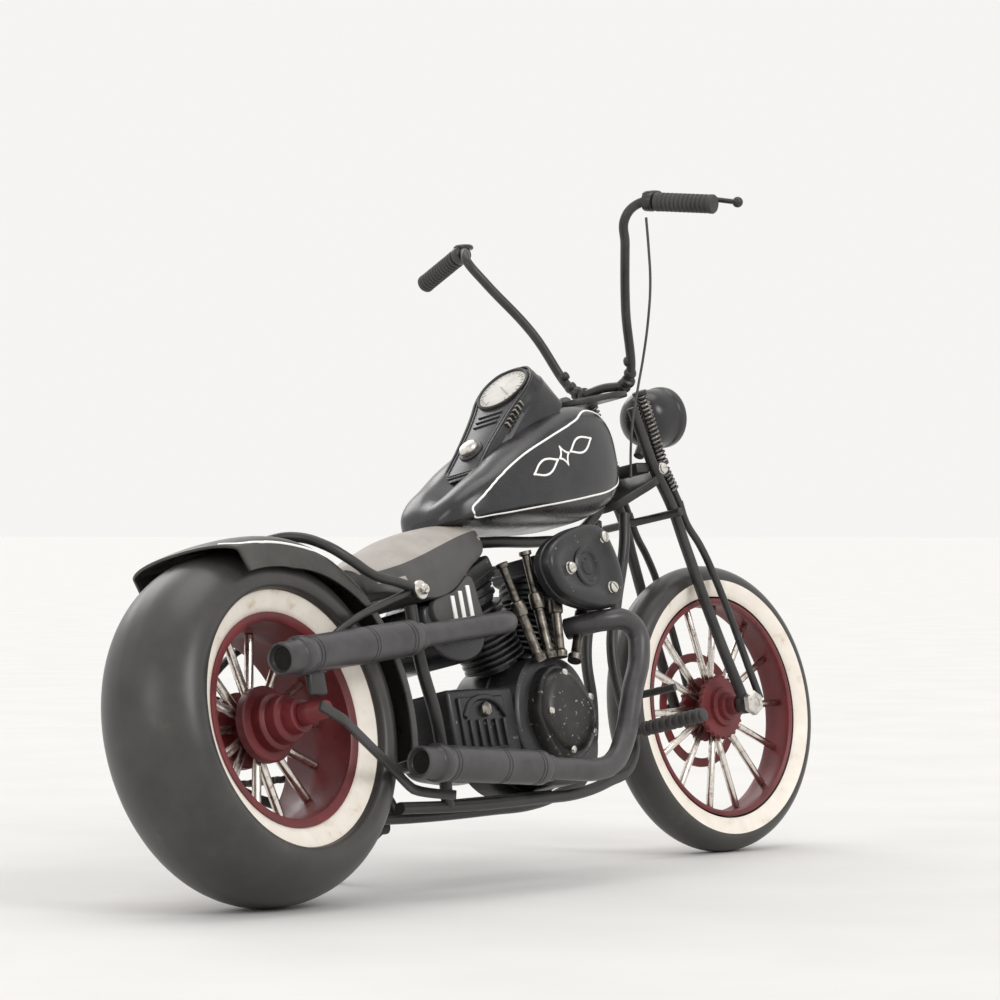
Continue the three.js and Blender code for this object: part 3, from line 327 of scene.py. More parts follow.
# %% Rubber, sidewall paint, dial, glass
rubber, surface, place = new_material("bloomed_black_rubber", roughness=0.4)
dust = add_node(
    rubber,
    "ShaderNodeTexNoise",
    {"Scale": 1 / (BLOOM_MM * MM), "Detail": 8.0, "Roughness": 0.62},
    Vector=place,
)
wire(
    rubber,
    ramp(rubber, dust.outputs["Fac"], [(0.3, "#2e2d2c"), (0.62, "#3c3a37"), (0.8, "#534f4a")]),
    surface,
    "Base Color",
)
sheen = add_node(rubber, "ShaderNodeMapRange", {"To Min": 0.26, "To Max": 0.46}, Value=dust.outputs["Fac"])
wire(rubber, sheen.outputs["Result"], surface, "Roughness")
pits = add_node(rubber, "ShaderNodeTexNoise", {"Scale": 1 / (PIT_MM * MM), "Detail": 4.0}, Vector=place)
bump(rubber, surface, pits.outputs["Fac"], 0.12, 0.1)

cream, surface, place = new_material("cream_sidewall_paint", roughness=0.5)
stain = add_node(
    cream, "ShaderNodeTexNoise", {"Scale": 1 / (STAIN_MM * MM), "Detail": 8.0, "Roughness": 0.6}, Vector=place
)
wire(
    cream,
    ramp(cream, stain.outputs["Fac"], [(0.25, "#c9b9a4"), (0.42, "#e9e0d4"), (0.7, "#f2ebe2")]),
    surface,
    "Base Color",
)
bump(cream, surface, stain.outputs["Fac"], 0.1, 0.15)

grip_rubber = brushed_enamel(
    "moulded_black_rubber", "#2c2b2a", "#454341", "#5b5854", chips=0.74, roughness=(0.5, 0.7)
)
dial_paper, surface, place = new_material("printed_dial_card", roughness=0.5)
fade = add_node(dial_paper, "ShaderNodeTexNoise", {"Scale": 1 / (FADE_MM * MM), "Detail": 3.0}, Vector=place)
wire(
    dial_paper,
    ramp(dial_paper, fade.outputs["Fac"], [(0.3, "#bfbcb6"), (0.7, "#d1cec8")]),
    surface,
    "Base Color",
)
tick_ink, surface, place = new_material("pale_grey_ink", roughness=0.6)
surface.inputs["Base Color"].default_value = linear("#a5a29c")
lamp_glass, surface, place = new_material(
    "clear_lamp_glass", roughness=0.05, Transmission_Weight=1.0, IOR=1.5
)
surface.inputs["Base Color"].default_value = linear("#f2f4f2")
cable_black = brushed_enamel(
    "black_sheathed_cable", "#3a3937", "#55524e", "#6b6761", chips=0.76, roughness=(0.45, 0.6)
)
print("materials:", len(bpy.data.materials))

# %% [markdown]
# Five helpers make nearly every piece: turned, tube, plate, skinned and stacked. Each leaves one active
# object, drawn upright in millimetres. A turned piece starts as a circle that is extruded and resized
# along its axis. A Screw modifier would do the same, but this way each step of the lathe is plain.

# %% Modelling helpers


def active():
    return bpy.context.view_layer.objects.active


def turned(profile, segments=48, ring=False):
    """A lathe piece about Z from (radius, height) pairs. A ring's profile closes on itself."""
    bpy.ops.object.select_all(action="DESELECT")
    (radius, height), rest = profile[0], profile[1:]
    bpy.ops.mesh.primitive_circle_add(
        vertices=segments,
        radius=radius,
        location=(0, 0, height),
        fill_type="NOTHING" if ring else "NGON",
    )
    bpy.ops.object.transform_apply(location=True, rotation=False, scale=False)
    bpy.ops.object.mode_set(mode="EDIT")
    bpy.ops.mesh.select_all(action="SELECT")
    for next_radius, next_height in rest + ([profile[0]] if ring else []):
        bpy.ops.mesh.extrude_region_move(TRANSFORM_OT_translate={"value": (0, 0, next_height - height)})
        scale = next_radius / radius
        bpy.ops.transform.resize(value=(scale, scale, 1), center_override=(0, 0, next_height))
        radius, height = next_radius, next_height
    bpy.ops.mesh.select_all(action="SELECT")
    bpy.ops.mesh.remove_doubles(threshold=0.001)
    bpy.ops.mesh.normals_make_consistent(inside=False)
    bpy.ops.object.mode_set(mode="OBJECT")
    return active()


def tube(points, radius, closed=False, sides=4, resolution=8):
    """A round bar along a smooth line through the points; radius may be one number or one for each."""
    bpy.ops.object.select_all(action="DESELECT")
    bpy.ops.curve.primitive_bezier_curve_add()
    curve = active().data
    curve.splines.clear()
    spline = curve.splines.new("BEZIER")
    spline.bezier_points.add(len(points) - 1)
    for i, (point, place) in enumerate(zip(spline.bezier_points, points)):
        point.co = place
        point.handle_left_type = point.handle_right_type = "AUTO"
        point.radius = radius[i] if isinstance(radius, (list, tuple)) else radius
    spline.use_cyclic_u = closed
    curve.dimensions = "3D"
    curve.bevel_depth = 1.0
    curve.bevel_resolution = sides
    curve.resolution_u = resolution
    curve.use_fill_caps = not closed
    bpy.ops.object.convert(target="MESH")
    tidy(active())
    return active()


def plate(outline, thickness, edge, resolution=6):
    """A flat piece with rounded edges, standing in the XZ plane about y=0, from a smooth outline."""
    bpy.ops.object.select_all(action="DESELECT")
    bpy.ops.curve.primitive_bezier_circle_add()
    curve = active().data
    curve.dimensions = "2D"
    curve.splines.clear()
    spline = curve.splines.new("BEZIER")
    spline.bezier_points.add(len(outline) - 1)
    for point, (x, z) in zip(spline.bezier_points, outline):
        point.co = (x, z, 0)
        point.handle_left_type = point.handle_right_type = "AUTO"
    spline.use_cyclic_u = True
    curve.fill_mode = "BOTH"
    curve.extrude = thickness / 2 - edge
    curve.bevel_depth = edge
    curve.bevel_resolution = 3
    curve.offset = -edge
    curve.resolution_u = resolution
    bpy.ops.object.convert(target="MESH")
    piece = active()
    piece.data.transform(Matrix.Rotation(math.radians(90), 4, "X"))
    tidy(piece)
    return piece


def skinned(rings):
    """A closed skin: a filled circle is moved onto the first ring, then extruded onto each next one."""
    bpy.ops.object.select_all(action="DESELECT")
    bpy.ops.mesh.primitive_circle_add(vertices=len(rings[0]), fill_type="NGON")
    piece = active()
    for vertex, point in zip(piece.data.vertices, rings[0]):
        vertex.co = point
    bpy.ops.object.mode_set(mode="EDIT")
    bpy.ops.mesh.select_all(action="SELECT")
    for last, ring in zip(rings, rings[1:]):
        bpy.ops.mesh.extrude_region_move()
        nearest = KDTree(len(last))
        for i, point in enumerate(last):
            nearest.insert(point, i)
        nearest.balance()
        shape = bmesh.from_edit_mesh(piece.data)
        for vertex in [v for v in shape.verts if v.select]:
            vertex.co = ring[nearest.find(vertex.co)[1]]
        bmesh.update_edit_mesh(piece.data)
    bpy.ops.object.mode_set(mode="OBJECT")
    tidy(piece)
    return piece


def smooth(points, count, closed=False):
    """Points along a smooth line through the given points, or through rows of sizes."""
    rows = [Vector(p) for p in points]
    spans = len(rows) if closed else len(rows) - 1
    result = []
    for i in range(count):
        place = i * spans / (count if closed else count - 1)
        k = min(int(place), spans - 1)
        f = place - k
        near = [(k + j) % len(rows) if closed else min(max(k + j, 0), len(rows) - 1) for j in (-1, 0, 1, 2)]
        a, b, c, d = (rows[j] for j in near)
        bend = (2 * a - 5 * b + 4 * c - d) * f**2 + (3 * b - a - 3 * c + d) * f**3
        result.append((2 * b + (c - a) * f + bend) * 0.5)
    return result


def stacked(outline, steps, count=72):
    """A cover whose smooth outline in XZ is repeated at each (y, inset towards its middle)."""
    loop = smooth(outline, count, closed=True)
    middle = sum(loop, Vector((0, 0))) / count
    rings = []
    for y, inset in steps:
        shrunk = [middle + (p - middle) * (1 - inset / (p - middle).length) for p in loop]
        rings.append([Vector((p.x, y, p.y)) for p in shrunk])
    return skinned(rings)


def tidy(piece, distance=0.001):
    """Merges doubles and turns the faces outwards."""
    bpy.ops.object.mode_set(mode="EDIT")
    bpy.ops.mesh.select_all(action="SELECT")
    bpy.ops.mesh.remove_doubles(threshold=distance)
    bpy.ops.mesh.normals_make_consistent(inside=False)
    bpy.ops.object.mode_set(mode="OBJECT")


def modify(piece, kind, **settings):
    """Adds a modifier with its settings and applies it."""
    bpy.context.view_layer.objects.active = piece
    modifier = piece.modifiers.new(kind.title(), kind)
    for key, value in settings.items():
        setattr(modifier, key, value)
    bpy.ops.object.modifier_apply(modifier=modifier.name)
    return piece


def bevelled(piece, width, segments=2, angle=35):
    return modify(
        piece, "BEVEL", width=width, segments=segments, limit_method="ANGLE", angle_limit=math.radians(angle)
    )


def along(at, direction):
    """Moves a piece drawn about Z to a point, with Z along direction."""
    turn = Vector(direction).to_track_quat("Z", "Y").to_matrix().to_4x4()
    return Matrix.Translation(Vector(at)) @ turn


def joined(*pieces):
    """Several pieces as one object."""
    bpy.ops.object.select_all(action="DESELECT")
    for piece in pieces:
        piece.select_set(True)
    bpy.context.view_layer.objects.active = pieces[0]
    bpy.ops.object.join()
    return active()


def put(piece, name, body, space, material, replaces=(), smooth=35):
    """Puts a drawn piece in its place: names, paints and smooths it, and lets it ride on a body."""
    piece.name = piece.data.name = name
    piece.data.transform(space)
    if material is not None:
        piece.data.materials.clear()
        piece.data.materials.append(material)
    bpy.ops.object.select_all(action="DESELECT")
    piece.select_set(True)
    bpy.context.view_layer.objects.active = piece
    bpy.ops.object.shade_smooth_by_angle(angle=math.radians(smooth))
    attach(piece, body)
    if replaces:
        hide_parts(*([replaces] if isinstance(replaces, str) else replaces))
    return piece


TO_WHEEL = Matrix.Rotation(math.radians(-90), 4, "X")  # a piece drawn about Z now turns about Y

# %% [markdown]
# Each tyre is one closed ring. Its profile runs from the bead out over the cream band, steps out to
# the black shoulder and rounds over the tread, where a faint seam runs round the middle. The band is
# painted by giving the faces between two radii the cream paint.

# %% Tyres


def tyre(half_profile, band, segments=144):
    """half_profile goes from the bead to the crown as (radius, half width)."""
    crown = half_profile[-1]
    other = [(r, -w) for r, w in reversed(half_profile[:-1])]
    piece = turned(half_profile[:-1] + [crown] + other, segments=segments, ring=True)
    piece.data.transform(TO_WHEEL)
    piece.data.materials.append(rubber)
    piece.data.materials.append(cream)
    inner, outer, least_width = band
    for face in piece.data.polygons:
        x, y, z = face.center
        if inner < math.hypot(x, z) < outer and abs(y) > least_width:
            face.material_index = 1
    return piece


def shoulder(start, crown_radius, count=14):
    """Points round a tyre's shoulder from its widest place to just beside the seam."""
    radius, width = start
    angles = [math.pi / 2 * i / count for i in range(count)]
    return [
        (radius + (crown_radius - radius) * math.sin(a), max(width * math.cos(a), 0.5))
        for a in angles
    ]


rear_profile = [
    (29.4, 11.2),
    (29.6, 11.8),
    (31.5, 12.7),
    (33.4, 13.5),
    (35.2, 14.3),
    (35.5, 14.5),
    (35.7, 15.2),
    (35.9, 16.3),
    (36.5, 17.0),
    *shoulder((37.6, 17.25), 49.45)[1:],
    (49.3, 0.0),
]
rear_tyre = tyre(rear_profile, (29.5, 35.55, 11.0))
put(rear_tyre, "rear_tyre_rubber", "rear_wheel", REAR_WHEEL, None, "rear_tyre", smooth=50)

front_profile = [
    (35.4, 4.7),
    (35.6, 5.1),
    (37.4, 5.8),
    (39.2, 6.35),
    (40.5, 6.7),
    (40.8, 6.75),
    *shoulder((41.3, 6.8), 46.0)[1:],
    (45.9, 0.0),
]
front_tyre = tyre(front_profile, (35.5, 40.65, 4.4))
put(
    front_tyre,
    "front_tyre_rubber",
    "front_wheel",
    FRONT_WHEEL,
    None,
    "front_tyre",
    smooth=50,
)
print("tyre faces:", len(rear_tyre.data.polygons), len(front_tyre.data.polygons))

# %% [markdown]
# The rear rim is a deep red barrel with a rolled lip that meets the cream band; the front one is a
# narrow band with a channel inside it. Both are turned as closed rings, since a rim is open inside.

# %% Rims
rear_rim = turned(
    [
        (29.0, -11.0),
        (28.7, -10.6),
        (28.7, 10.6),
        (29.0, 11.0),
        (29.2, 11.7),
        (29.9, 12.0),
        (29.8, 12.4),
        (28.6, 12.5),
        (27.3, 11.8),
        (27.0, 10.6),
        (27.2, 3.0),
        (26.8, 1.4),
        (26.8, -1.4),
        (27.2, -3.0),
        (27.0, -10.6),
        (27.3, -11.8),
        (28.6, -12.5),
        (29.8, -12.4),
        (29.9, -12.0),
        (29.2, -11.7),
    ],
    segments=96,
    ring=True,
)
put(rear_rim, "rear_rim_barrel", "rear_wheel", REAR_WHEEL @ TO_WHEEL, wheel_red, "rear_rim")
front_rim = turned(
    [
        (35.0, -5.0),
        (35.0, 5.0),
        (34.2, 5.3),
        (33.4, 4.9),
        (33.0, 3.6),
        (33.4, 1.8),
        (33.2, 0.0),
        (33.4, -1.8),
        (33.0, -3.6),
        (33.4, -4.9),
        (34.2, -5.3),
    ],
    segments=96,
    ring=True,
)
put(
    front_rim,
    "front_rim_band",
    "front_wheel",
    FRONT_WHEEL @ TO_WHEEL,
    wheel_red,
    "front_rim",
)

# %% [markdown]
# Each hub is a stepped turning with a flange on either side. The spokes are plain rods from the hub to
# the rim. They could be one rod with an Array modifier, but each one leans a little to its own side, so
# a loop turns and places them. They are cut straight and set nearly in one plane, as on a cast wheel.

# %% Hubs and spokes
SPOKES = 14


def spokes(root_radius, rim_radius, radius, flange):
    """Rods from the hub to the middle of the rim, each a little to its own side, as one piece."""
    rods = []
    for i in range(SPOKES):
        turn = 2 * math.pi * i / SPOKES
        side = 1 if i % 2 else -1
        out = Vector((math.cos(turn), 0, math.sin(turn)))
        start = out * root_radius + Vector((0, side * flange, 0))
        end = out * rim_radius + Vector((0, side * flange * 0.5, 0))
        length = (end - start).length
        rod = turned(
            [(radius * 0.8, 0), (radius, 0.3), (radius, length - 0.3), (radius * 0.8, length)],
            segments=16,
        )
        rod.data.transform(along(start, end - start))
        rods.append(rod)
    return joined(*rods)


rear_hub = turned(
    [
        (1.85, -18.4),
        (4.3, -18.4),
        (4.7, -18.0),
        (4.9, -14.4),
        (6.2, -14.0),
        (6.6, -13.5),
        (6.8, -10.4),
        (7.6, -10.0),
        (8.0, -9.5),
        (8.1, -6.6),
        (10.2, -6.2),
        (10.6, -5.8),
        (10.6, -3.4),
        (10.2, -3.0),
        (6.5, -2.6),
        (6.5, 2.6),
        (10.2, 3.0),
        (10.6, 3.4),
        (10.6, 5.8),
        (10.2, 6.2),
        (6.6, 7.0),
        (6.0, 17.6),
        (5.4, 19.8),
        (11.4, 19.9),
        (11.4, 20.9),
        (5.4, 21.0),
        (4.6, 22.0),
        (1.85, 22.0),
    ],
    segments=64,
    ring=True,
)
put(
    rear_hub,
    "rear_hub_turning",
    "rear_wheel",
    REAR_WHEEL @ TO_WHEEL,
    wheel_red,
    "rear_hub_and_spokes",
    smooth=30,
)
rear_spokes = spokes(6.9, 26.7, 1.3, 1.2)
put(rear_spokes, "rear_spokes", "rear_wheel", REAR_WHEEL, spoke_metal, smooth=40)

front_hub = turned(
    [
        (1.85, -11.6),
        (2.7, -11.6),
        (3.0, -11.2),
        (3.1, -8.7),
        (4.3, -8.4),
        (4.6, -6.7),
        (6.1, -6.3),
        (6.4, -5.0),
        (9.4, -4.7),
        (9.8, -4.3),
        (9.8, -3.2),
        (9.4, -2.9),
        (5.2, -2.4),
        (5.2, 2.4),
        (9.4, 2.9),
        (9.8, 3.2),
        (9.8, 4.3),
        (9.4, 4.7),
        (6.4, 5.0),
        (4.6, 6.7),
        (3.1, 8.7),
        (3.0, 11.2),
        (2.7, 11.6),
        (1.85, 11.6),
    ],
    segments=64,
    ring=True,
)
put(
    front_hub,
    "front_hub_turning",
    "front_wheel",
    FRONT_WHEEL @ TO_WHEEL,
    wheel_red,
    "front_hub_and_spokes",
    smooth=30,
)
front_spokes = spokes(6.0, 33.1, 1.15, 1.0)
put(front_spokes, "front_spokes", "front_wheel", FRONT_WHEEL, spoke_metal, smooth=40)

# Teeth round the front hub's flanges: one small block, copied round.
teeth = []
for side in (-1, 1):
    for i in range(24):
        tooth = turned([(0.5, 0), (0.62, 0.2), (0.62, 1.5), (0.5, 1.7)], segments=8)
        turn = Matrix.Rotation(2 * math.pi * i / 24, 4, "Y")
        tooth.data.transform(turn @ along((9.7, side * 3.75 + 0.85, 0), (0, -1, 0)))
        teeth.append(tooth)
put(joined(*teeth), "front_hub_teeth", "front_wheel", FRONT_WHEEL, wheel_red, smooth=40)

# The brake disc is a flat ring on the left of the front wheel, held off the spokes.
disc = turned([(15.6, 5.2), (18.4, 5.2), (18.4, 6.0), (15.6, 6.0)], segments=64, ring=True)
put(disc, "front_brake_disc", "front_wheel", FRONT_WHEEL @ TO_WHEEL, wheel_red, smooth=30)
print("spokes in each wheel:", SPOKES)

# %% [markdown]
# The rear fender is one sheet, pressed to a round section and rolled round the tyre. A flat grid is
# shaped by formula: one way round the wheel, the other way across. The tail flares out into two
# corners, and Solidify gives the sheet its thickness.

# %% Rear fender
CROWN_R = 51.9
SKIRT_TOP_R = 47.4
FENDER_HALF = 18.9
TAIL_ANGLE = -18
NOSE_ANGLE = 106
ACROSS = 33
AROUND = 63


def fender_point(share, degrees):
    """A point of the fender's outside: share runs across, -1 to 1, and degrees from straight up."""
    tail = max(0.0, -degrees) / 18
    skirt_r = min(max(41.0 + (degrees - 10) * 0.11, 41.0), 45.6)
    arch = abs(share) * 1.25
    if arch <= 1:
        radius = SKIRT_TOP_R + (CROWN_R - SKIRT_TOP_R) * max(math.cos(arch * math.pi / 2), 0) ** 0.9
        width = FENDER_HALF * math.sin(arch * math.pi / 2)
    else:
        radius = SKIRT_TOP_R + (skirt_r - SKIRT_TOP_R) * (arch - 1) / 0.25
        width = FENDER_HALF
    flare = 1.1 * tail**2
    angle = math.radians(degrees - 4.0 * tail * (1 - abs(share)) ** 0.8)
    return Vector((
        (radius + flare * 0.6) * math.sin(angle),
        math.copysign(width + flare * abs(share), share),
        REAR_AXLE.z + (radius + flare * 0.6) * math.cos(angle),
    ))


bpy.ops.object.select_all(action="DESELECT")
bpy.ops.mesh.primitive_grid_add(x_subdivisions=AROUND - 1, y_subdivisions=ACROSS - 1, size=2)
fender = active()
for vertex in fender.data.vertices:
    across = vertex.co.y
    around = TAIL_ANGLE + (NOSE_ANGLE - TAIL_ANGLE) * (vertex.co.x + 1) / 2
    vertex.co = fender_point(across, around)
tidy(fender)
top_face = max(fender.data.polygons, key=lambda face: face.center.z)
if top_face.normal.z < 0:
    fender.data.flip_normals()
modify(fender, "SOLIDIFY", thickness=0.9, offset=-1)
bevelled(fender, 0.25)
put(fender, "rear_fender_sheet", "frame", BIKE, fender_enamel, "rear_fender", smooth=40)
print("fender faces:", len(fender.data.polygons))

# %% [markdown]
# A half-round strap hugs the fender, and one long bolt holds it, the fender and the seat. On the
# outside the bolt shows a washer, a dark spacer and a slotted head.

# %% Strap and bolt
strap_side = [
    (56.0, -21.2, 83.0),
    (46.0, -21.6, 85.2),
    (37.0, -21.4, 87.2),
    (29.6, -20.4, 91.8),
    (24.6, -16.4, 96.9),
    (21.4, -9.6, 100.7),
]
strap_route = strap_side + [(20.0, 0, 101.8)] + [(x, -y, z) for x, y, z in reversed(strap_side)]
strap = tube(strap_route, 1.45, sides=5)
put(strap, "fender_strap_bar", "frame", BIKE, frame_enamel, "fender_strap", smooth=60)


def slotted_head(radius, height, slot_width, washer=1.5, sides=32):
    """A screw head about Z, standing on z=0, with a slot across it and a washer under it."""
    head = turned(
        [
            (radius * washer, -0.8),
            (radius * washer, -0.15),
            (radius * (washer - 0.08), 0.0),
            (radius, 0.02),
            (radius, height * 0.6),
            (radius * 0.8, height * 0.92),
            (radius * 0.45, height),
        ],
        segments=sides,
    )
    bpy.ops.object.select_all(action="DESELECT")
    depth = height * 0.45
    bpy.ops.mesh.primitive_cube_add(size=1, location=(0, 0, height - depth / 2 + 0.05))
    cutter = active()
    cutter.scale = (radius * 2.4, slot_width, depth + 0.1)
    bpy.ops.object.transform_apply(location=False, rotation=False, scale=True)
    bpy.context.view_layer.objects.active = head
    modify(head, "BOOLEAN", object=cutter, operation="DIFFERENCE", solver="EXACT")
    bpy.data.objects.remove(cutter)
    return head


BOLT = Vector((55.9, 0, 82.4))
for side, down in (("right", -1), ("left", 1)):
    head = slotted_head(1.6, 1.9, 0.5, washer=1.75)
    turn = Matrix.Rotation(math.radians(35), 4, "Z")
    head.data.transform(along((BOLT.x, down * 23.0, BOLT.z), (0, down, 0)) @ turn)
    put(head, f"seat_bolt_head_{side}", "frame", BIKE, screw_metal, smooth=30)
    spacer = turned([(2.2, 0), (2.6, 0.4), (2.6, 1.8), (2.3, 2.2)], segments=40)
    spacer.data.transform(along((BOLT.x, down * 20.2, BOLT.z), (0, down, 0)))
    put(spacer, f"seat_bolt_spacer_{side}", "frame", BIKE, frame_enamel)
shank = turned([(1.1, -19.8), (1.1, 19.8)], segments=16)
shank.data.transform(along((BOLT.x, 0, BOLT.z), (0, 1, 0)))
put(shank, "seat_bolt_shank", "frame", BIKE, screw_metal, "seat_bolt")

# %% [markdown]
# Both mufflers are the same turning in two lengths: a shallow cup at the tip, its floor painted near black as
# shade, a wide ring, the body with fine grooves, and a collar where the pipe goes in. The pipes are bent rod.

# %% Exhausts
# Near black for the floor of each muffler's tip cup: painted shade in the recess.
painted_cup_shade, surface, place = new_material("painted_shade_black", roughness=0.95)
cup_shade_noise = add_node(painted_cup_shade, "ShaderNodeTexNoise", {"Scale": 1 / (CUP_SHADE_MM * MM)}, Vector=place)
wire(painted_cup_shade, ramp(painted_cup_shade, cup_shade_noise.outputs["Fac"], [(0.3, "#0d0c0c"), (0.7, "#1d1b1a")]), surface, "Base Color")


def muffler(length):
    """A muffler about Z with its tip at the origin."""
    grooves = []
    for start in (11.6, 13.0, length * 0.62, length * 0.62 + 1.3, length - 5.0, length - 3.6):
        grooves += [(5.1, start), (4.85, start + 0.15), (4.85, start + 0.45), (5.1, start + 0.6)]
    profile = [
        (0.3, 1.7),
        (2.4, 1.7),
        (3.2, 1.5),
        (3.6, 0.9),
        (3.7, 0.2),
        (4.0, 0.0),
        (4.4, 0.3),
        (4.5, 0.8),
        (4.5, 6.2),
        (4.7, 6.6),
        (5.3, 7.0),
        (5.45, 7.4),
        (5.45, 9.8),
        (5.3, 10.2),
        (5.1, 10.5),
        *grooves,
        (5.1, length - 0.6),
        (4.9, length),
        (4.3, length + 0.6),
        (3.95, length + 0.9),
        (3.95, length + 4.0),
        (3.7, length + 4.3),
        (0.3, length + 4.3),
    ]
    piece = turned(profile, segments=56)
    piece.data.materials.append(exhaust_enamel)
    piece.data.materials.append(painted_cup_shade)
    # The faces on the floor of the tip cup take the near black: painted shade.
    for face in piece.data.polygons:
        out = math.hypot(face.center.x, face.center.y)
        if 1.4 < face.center.z < 1.8 and out < 3.2:
            face.material_index = 1
    return piece


MUFFLER_Y = -26.2
upper_tip = Vector((-15.0, MUFFLER_Y, 63.6))
upper_end = Vector((89.6, MUFFLER_Y + 1.2, 71.8))
upper = muffler(59)
upper.data.transform(along(upper_tip, upper_end - upper_tip))
put(upper, "upper_muffler", "frame", BIKE, None, "upper_exhaust")
upper_way = (upper_end - upper_tip).normalized()
upper_pipe = tube(
    [
        upper_tip + upper_way * 62,
        upper_tip + upper_way * 85,
        upper_end,
        (92.4, -23.0, 72.2),
        (93.6, -17.4, 72.6),
        (93.8, -12.4, 73.0),
    ],
    3.3,
    sides=7,
)
put(upper_pipe, "upper_pipe", "frame", BIKE, exhaust_enamel, smooth=60)

lower_tip = Vector((36.0, MUFFLER_Y, 33.2))
lower_end = Vector((96.0, MUFFLER_Y, 28.4))
lower = muffler(56)
lower.data.transform(along(lower_tip, lower_end - lower_tip))
put(lower, "lower_muffler", "frame", BIKE, None, "lower_exhaust")
lower_pipe = tube(
    [
        (94.0, MUFFLER_Y, 28.6),
        (108.0, MUFFLER_Y, 27.4),
        (119.0, MUFFLER_Y, 26.8),
        (128.4, MUFFLER_Y, 28.6),
        (135.4, MUFFLER_Y, 34.4),
        (145.2, MUFFLER_Y, 49.6),
        (152.6, MUFFLER_Y, 61.4),
        (153.2, MUFFLER_Y + 0.2, 67.6),
        (149.5, MUFFLER_Y + 1.0, 71.2),
        (143.5, MUFFLER_Y + 4.2, 72.0),
        (139.5, MUFFLER_Y + 9.6, 71.8),
        (138.0, MUFFLER_Y + 14.6, 71.6),
    ],
    3.3,
    sides=7,
    resolution=12,
)
put(lower_pipe, "lower_pipe", "frame", BIKE, exhaust_enamel, smooth=60)


def block(x0, x1, y0, y1, z0, z1, edge=0.4):
    """A box between limits with its edges bevelled."""
    bpy.ops.object.select_all(action="DESELECT")
    bpy.ops.mesh.primitive_cube_add(size=1, location=((x0 + x1) / 2, (y0 + y1) / 2, (z0 + z1) / 2))
    active().scale = (x1 - x0, y1 - y0, z1 - z0)
    bpy.ops.object.transform_apply(location=True, rotation=False, scale=True)
    return bevelled(active(), edge, segments=3)


bracket = joined(
    block(-3.6, 3.2, MUFFLER_Y + 0.2, MUFFLER_Y + 2.4, 53.4, 62.0, edge=0.9),
    block(-4.0, 3.6, MUFFLER_Y - 0.2, MUFFLER_Y + 2.8, 59.4, 60.8),
)
put(bracket, "muffler_bracket", "frame", BIKE, frame_enamel)
print("exhausts done")

# %% [markdown]
# The frame is bent steel rod, welded at its joints. Each rod is a smooth line with a round section.
# The left side mirrors the right, apart from the stay and bar that pass outside the chain.

# %% Frame tubes
backbone = tube(
    [
        (185.2, 0, 112.6),
        (177.5, 0, 107.6),
        (167.0, 0, 102.8),
        (150.0, 0, 101.4),
        (122.0, 0, 101.2),
        (109.0, 0, 100.2),
        (100.0, 0, 96.6),
        (88.5, 0, 88.4),
        (82.0, 0, 82.8),
    ],
    1.75,
    sides=6,
)
put(backbone, "backbone_rod", "frame", BIKE, frame_enamel, "backbone_tube", smooth=60)

cradle_route = [
    (189.2, -5.6, 109.0),
    (186.6, -5.0, 99.0),
    (176.0, -5.0, 80.0),
    (169.2, -5.0, 66.0),
    (168.2, -5.6, 50.0),
    (167.4, -8.2, 38.0),
    (161.0, -8.8, 28.8),
    (148.0, -9.0, 24.8),
    (132.0, -9.0, 22.2),
    (112.0, -9.0, 21.8),
    (74.0, -9.0, 21.8),
    (46.0, -9.0, 22.8),
]
seat_post_route = [(56.6, -17.4, 79.0), (57.2, -16.8, 63.5), (62.4, -14.8, 45.0), (67.4, -9.4, 22.0)]
right_stay = [
    (52.6, -20.4, 82.0),
    (40.0, -20.4, 78.8),
    (24.0, -20.2, 73.8),
    (14.0, -19.0, 68.0),
    (6.6, -19.0, 60.6),
    (2.0, -21.4, 54.8),
]
left_stay = [(52.6, 20.6, 82.0), (40.0, 21.8, 78.8), (24.0, 23.6, 73.8), (6.6, 24.4, 60.6), (2.0, 24.4, 54.8)]


def mirrored(points):
    return [(x, -y, z) for x, y, z in points]


for side, flip in (("right", list), ("left", mirrored)):
    cradle = joined(
        tube(flip(cradle_route), 1.75, sides=6),
        tube(flip(seat_post_route), 1.85, sides=6),
        tube(flip([(169.0, -5.6, 50.2), (172.2, -23.4, 50.2)]), 1.2, sides=5),
    )
    put(
        cradle,
        f"cradle_rod_{side}",
        "frame",
        BIKE,
        frame_enamel,
        f"cradle_tube_{side}",
        smooth=60,
    )
    stay = tube(right_stay if side == "right" else left_stay, 1.15, sides=6)
    put(
        stay,
        f"seat_stay_rod_{side}",
        "frame",
        BIKE,
        frame_enamel,
        f"seat_stay_{side}",
        smooth=60,
    )

# The steering head is a short pipe with a rolled lip at each end.
NECK_AXIS = Vector((-math.sin(RAKE), 0, math.cos(RAKE)))


def on_neck(z, out=0.0):
    """The point of the steering axis at a height, moved along the axis."""
    return Vector((157.96 + (180 - z) * math.tan(RAKE), 0, z)) + NECK_AXIS * out


neck_low = on_neck(116.5, 1.4)
neck_length = (on_neck(142.4, -0.6) - neck_low).length
neck = turned(
    [
        (2.3, 0.0),
        (3.9, 0.0),
        (4.0, 0.4),
        (4.0, 1.6),
        (3.7, 2.0),
        (3.7, neck_length - 2.0),
        (4.0, neck_length - 1.6),
        (4.0, neck_length - 0.4),
        (3.9, neck_length),
        (2.3, neck_length),
    ],
    segments=40,
    ring=True,
)
neck.data.transform(along(neck_low, NECK_AXIS))
put(neck, "steering_head_pipe", "frame", BIKE, frame_enamel, "steering_head")

# %% [markdown]
# Each axle bar is a flat strip, cut by eye, that runs from the axle's tip down to the cradle and draws
# in on the way. It starts as a smooth row of upright rectangles.

# %% Axle bars and base plate
bar_middle = [(-4.8, 50.2), (4.0, 45.9), (19.2, 38.6), (30.0, 33.5), (44.0, 26.8), (62.0, 24.2)]


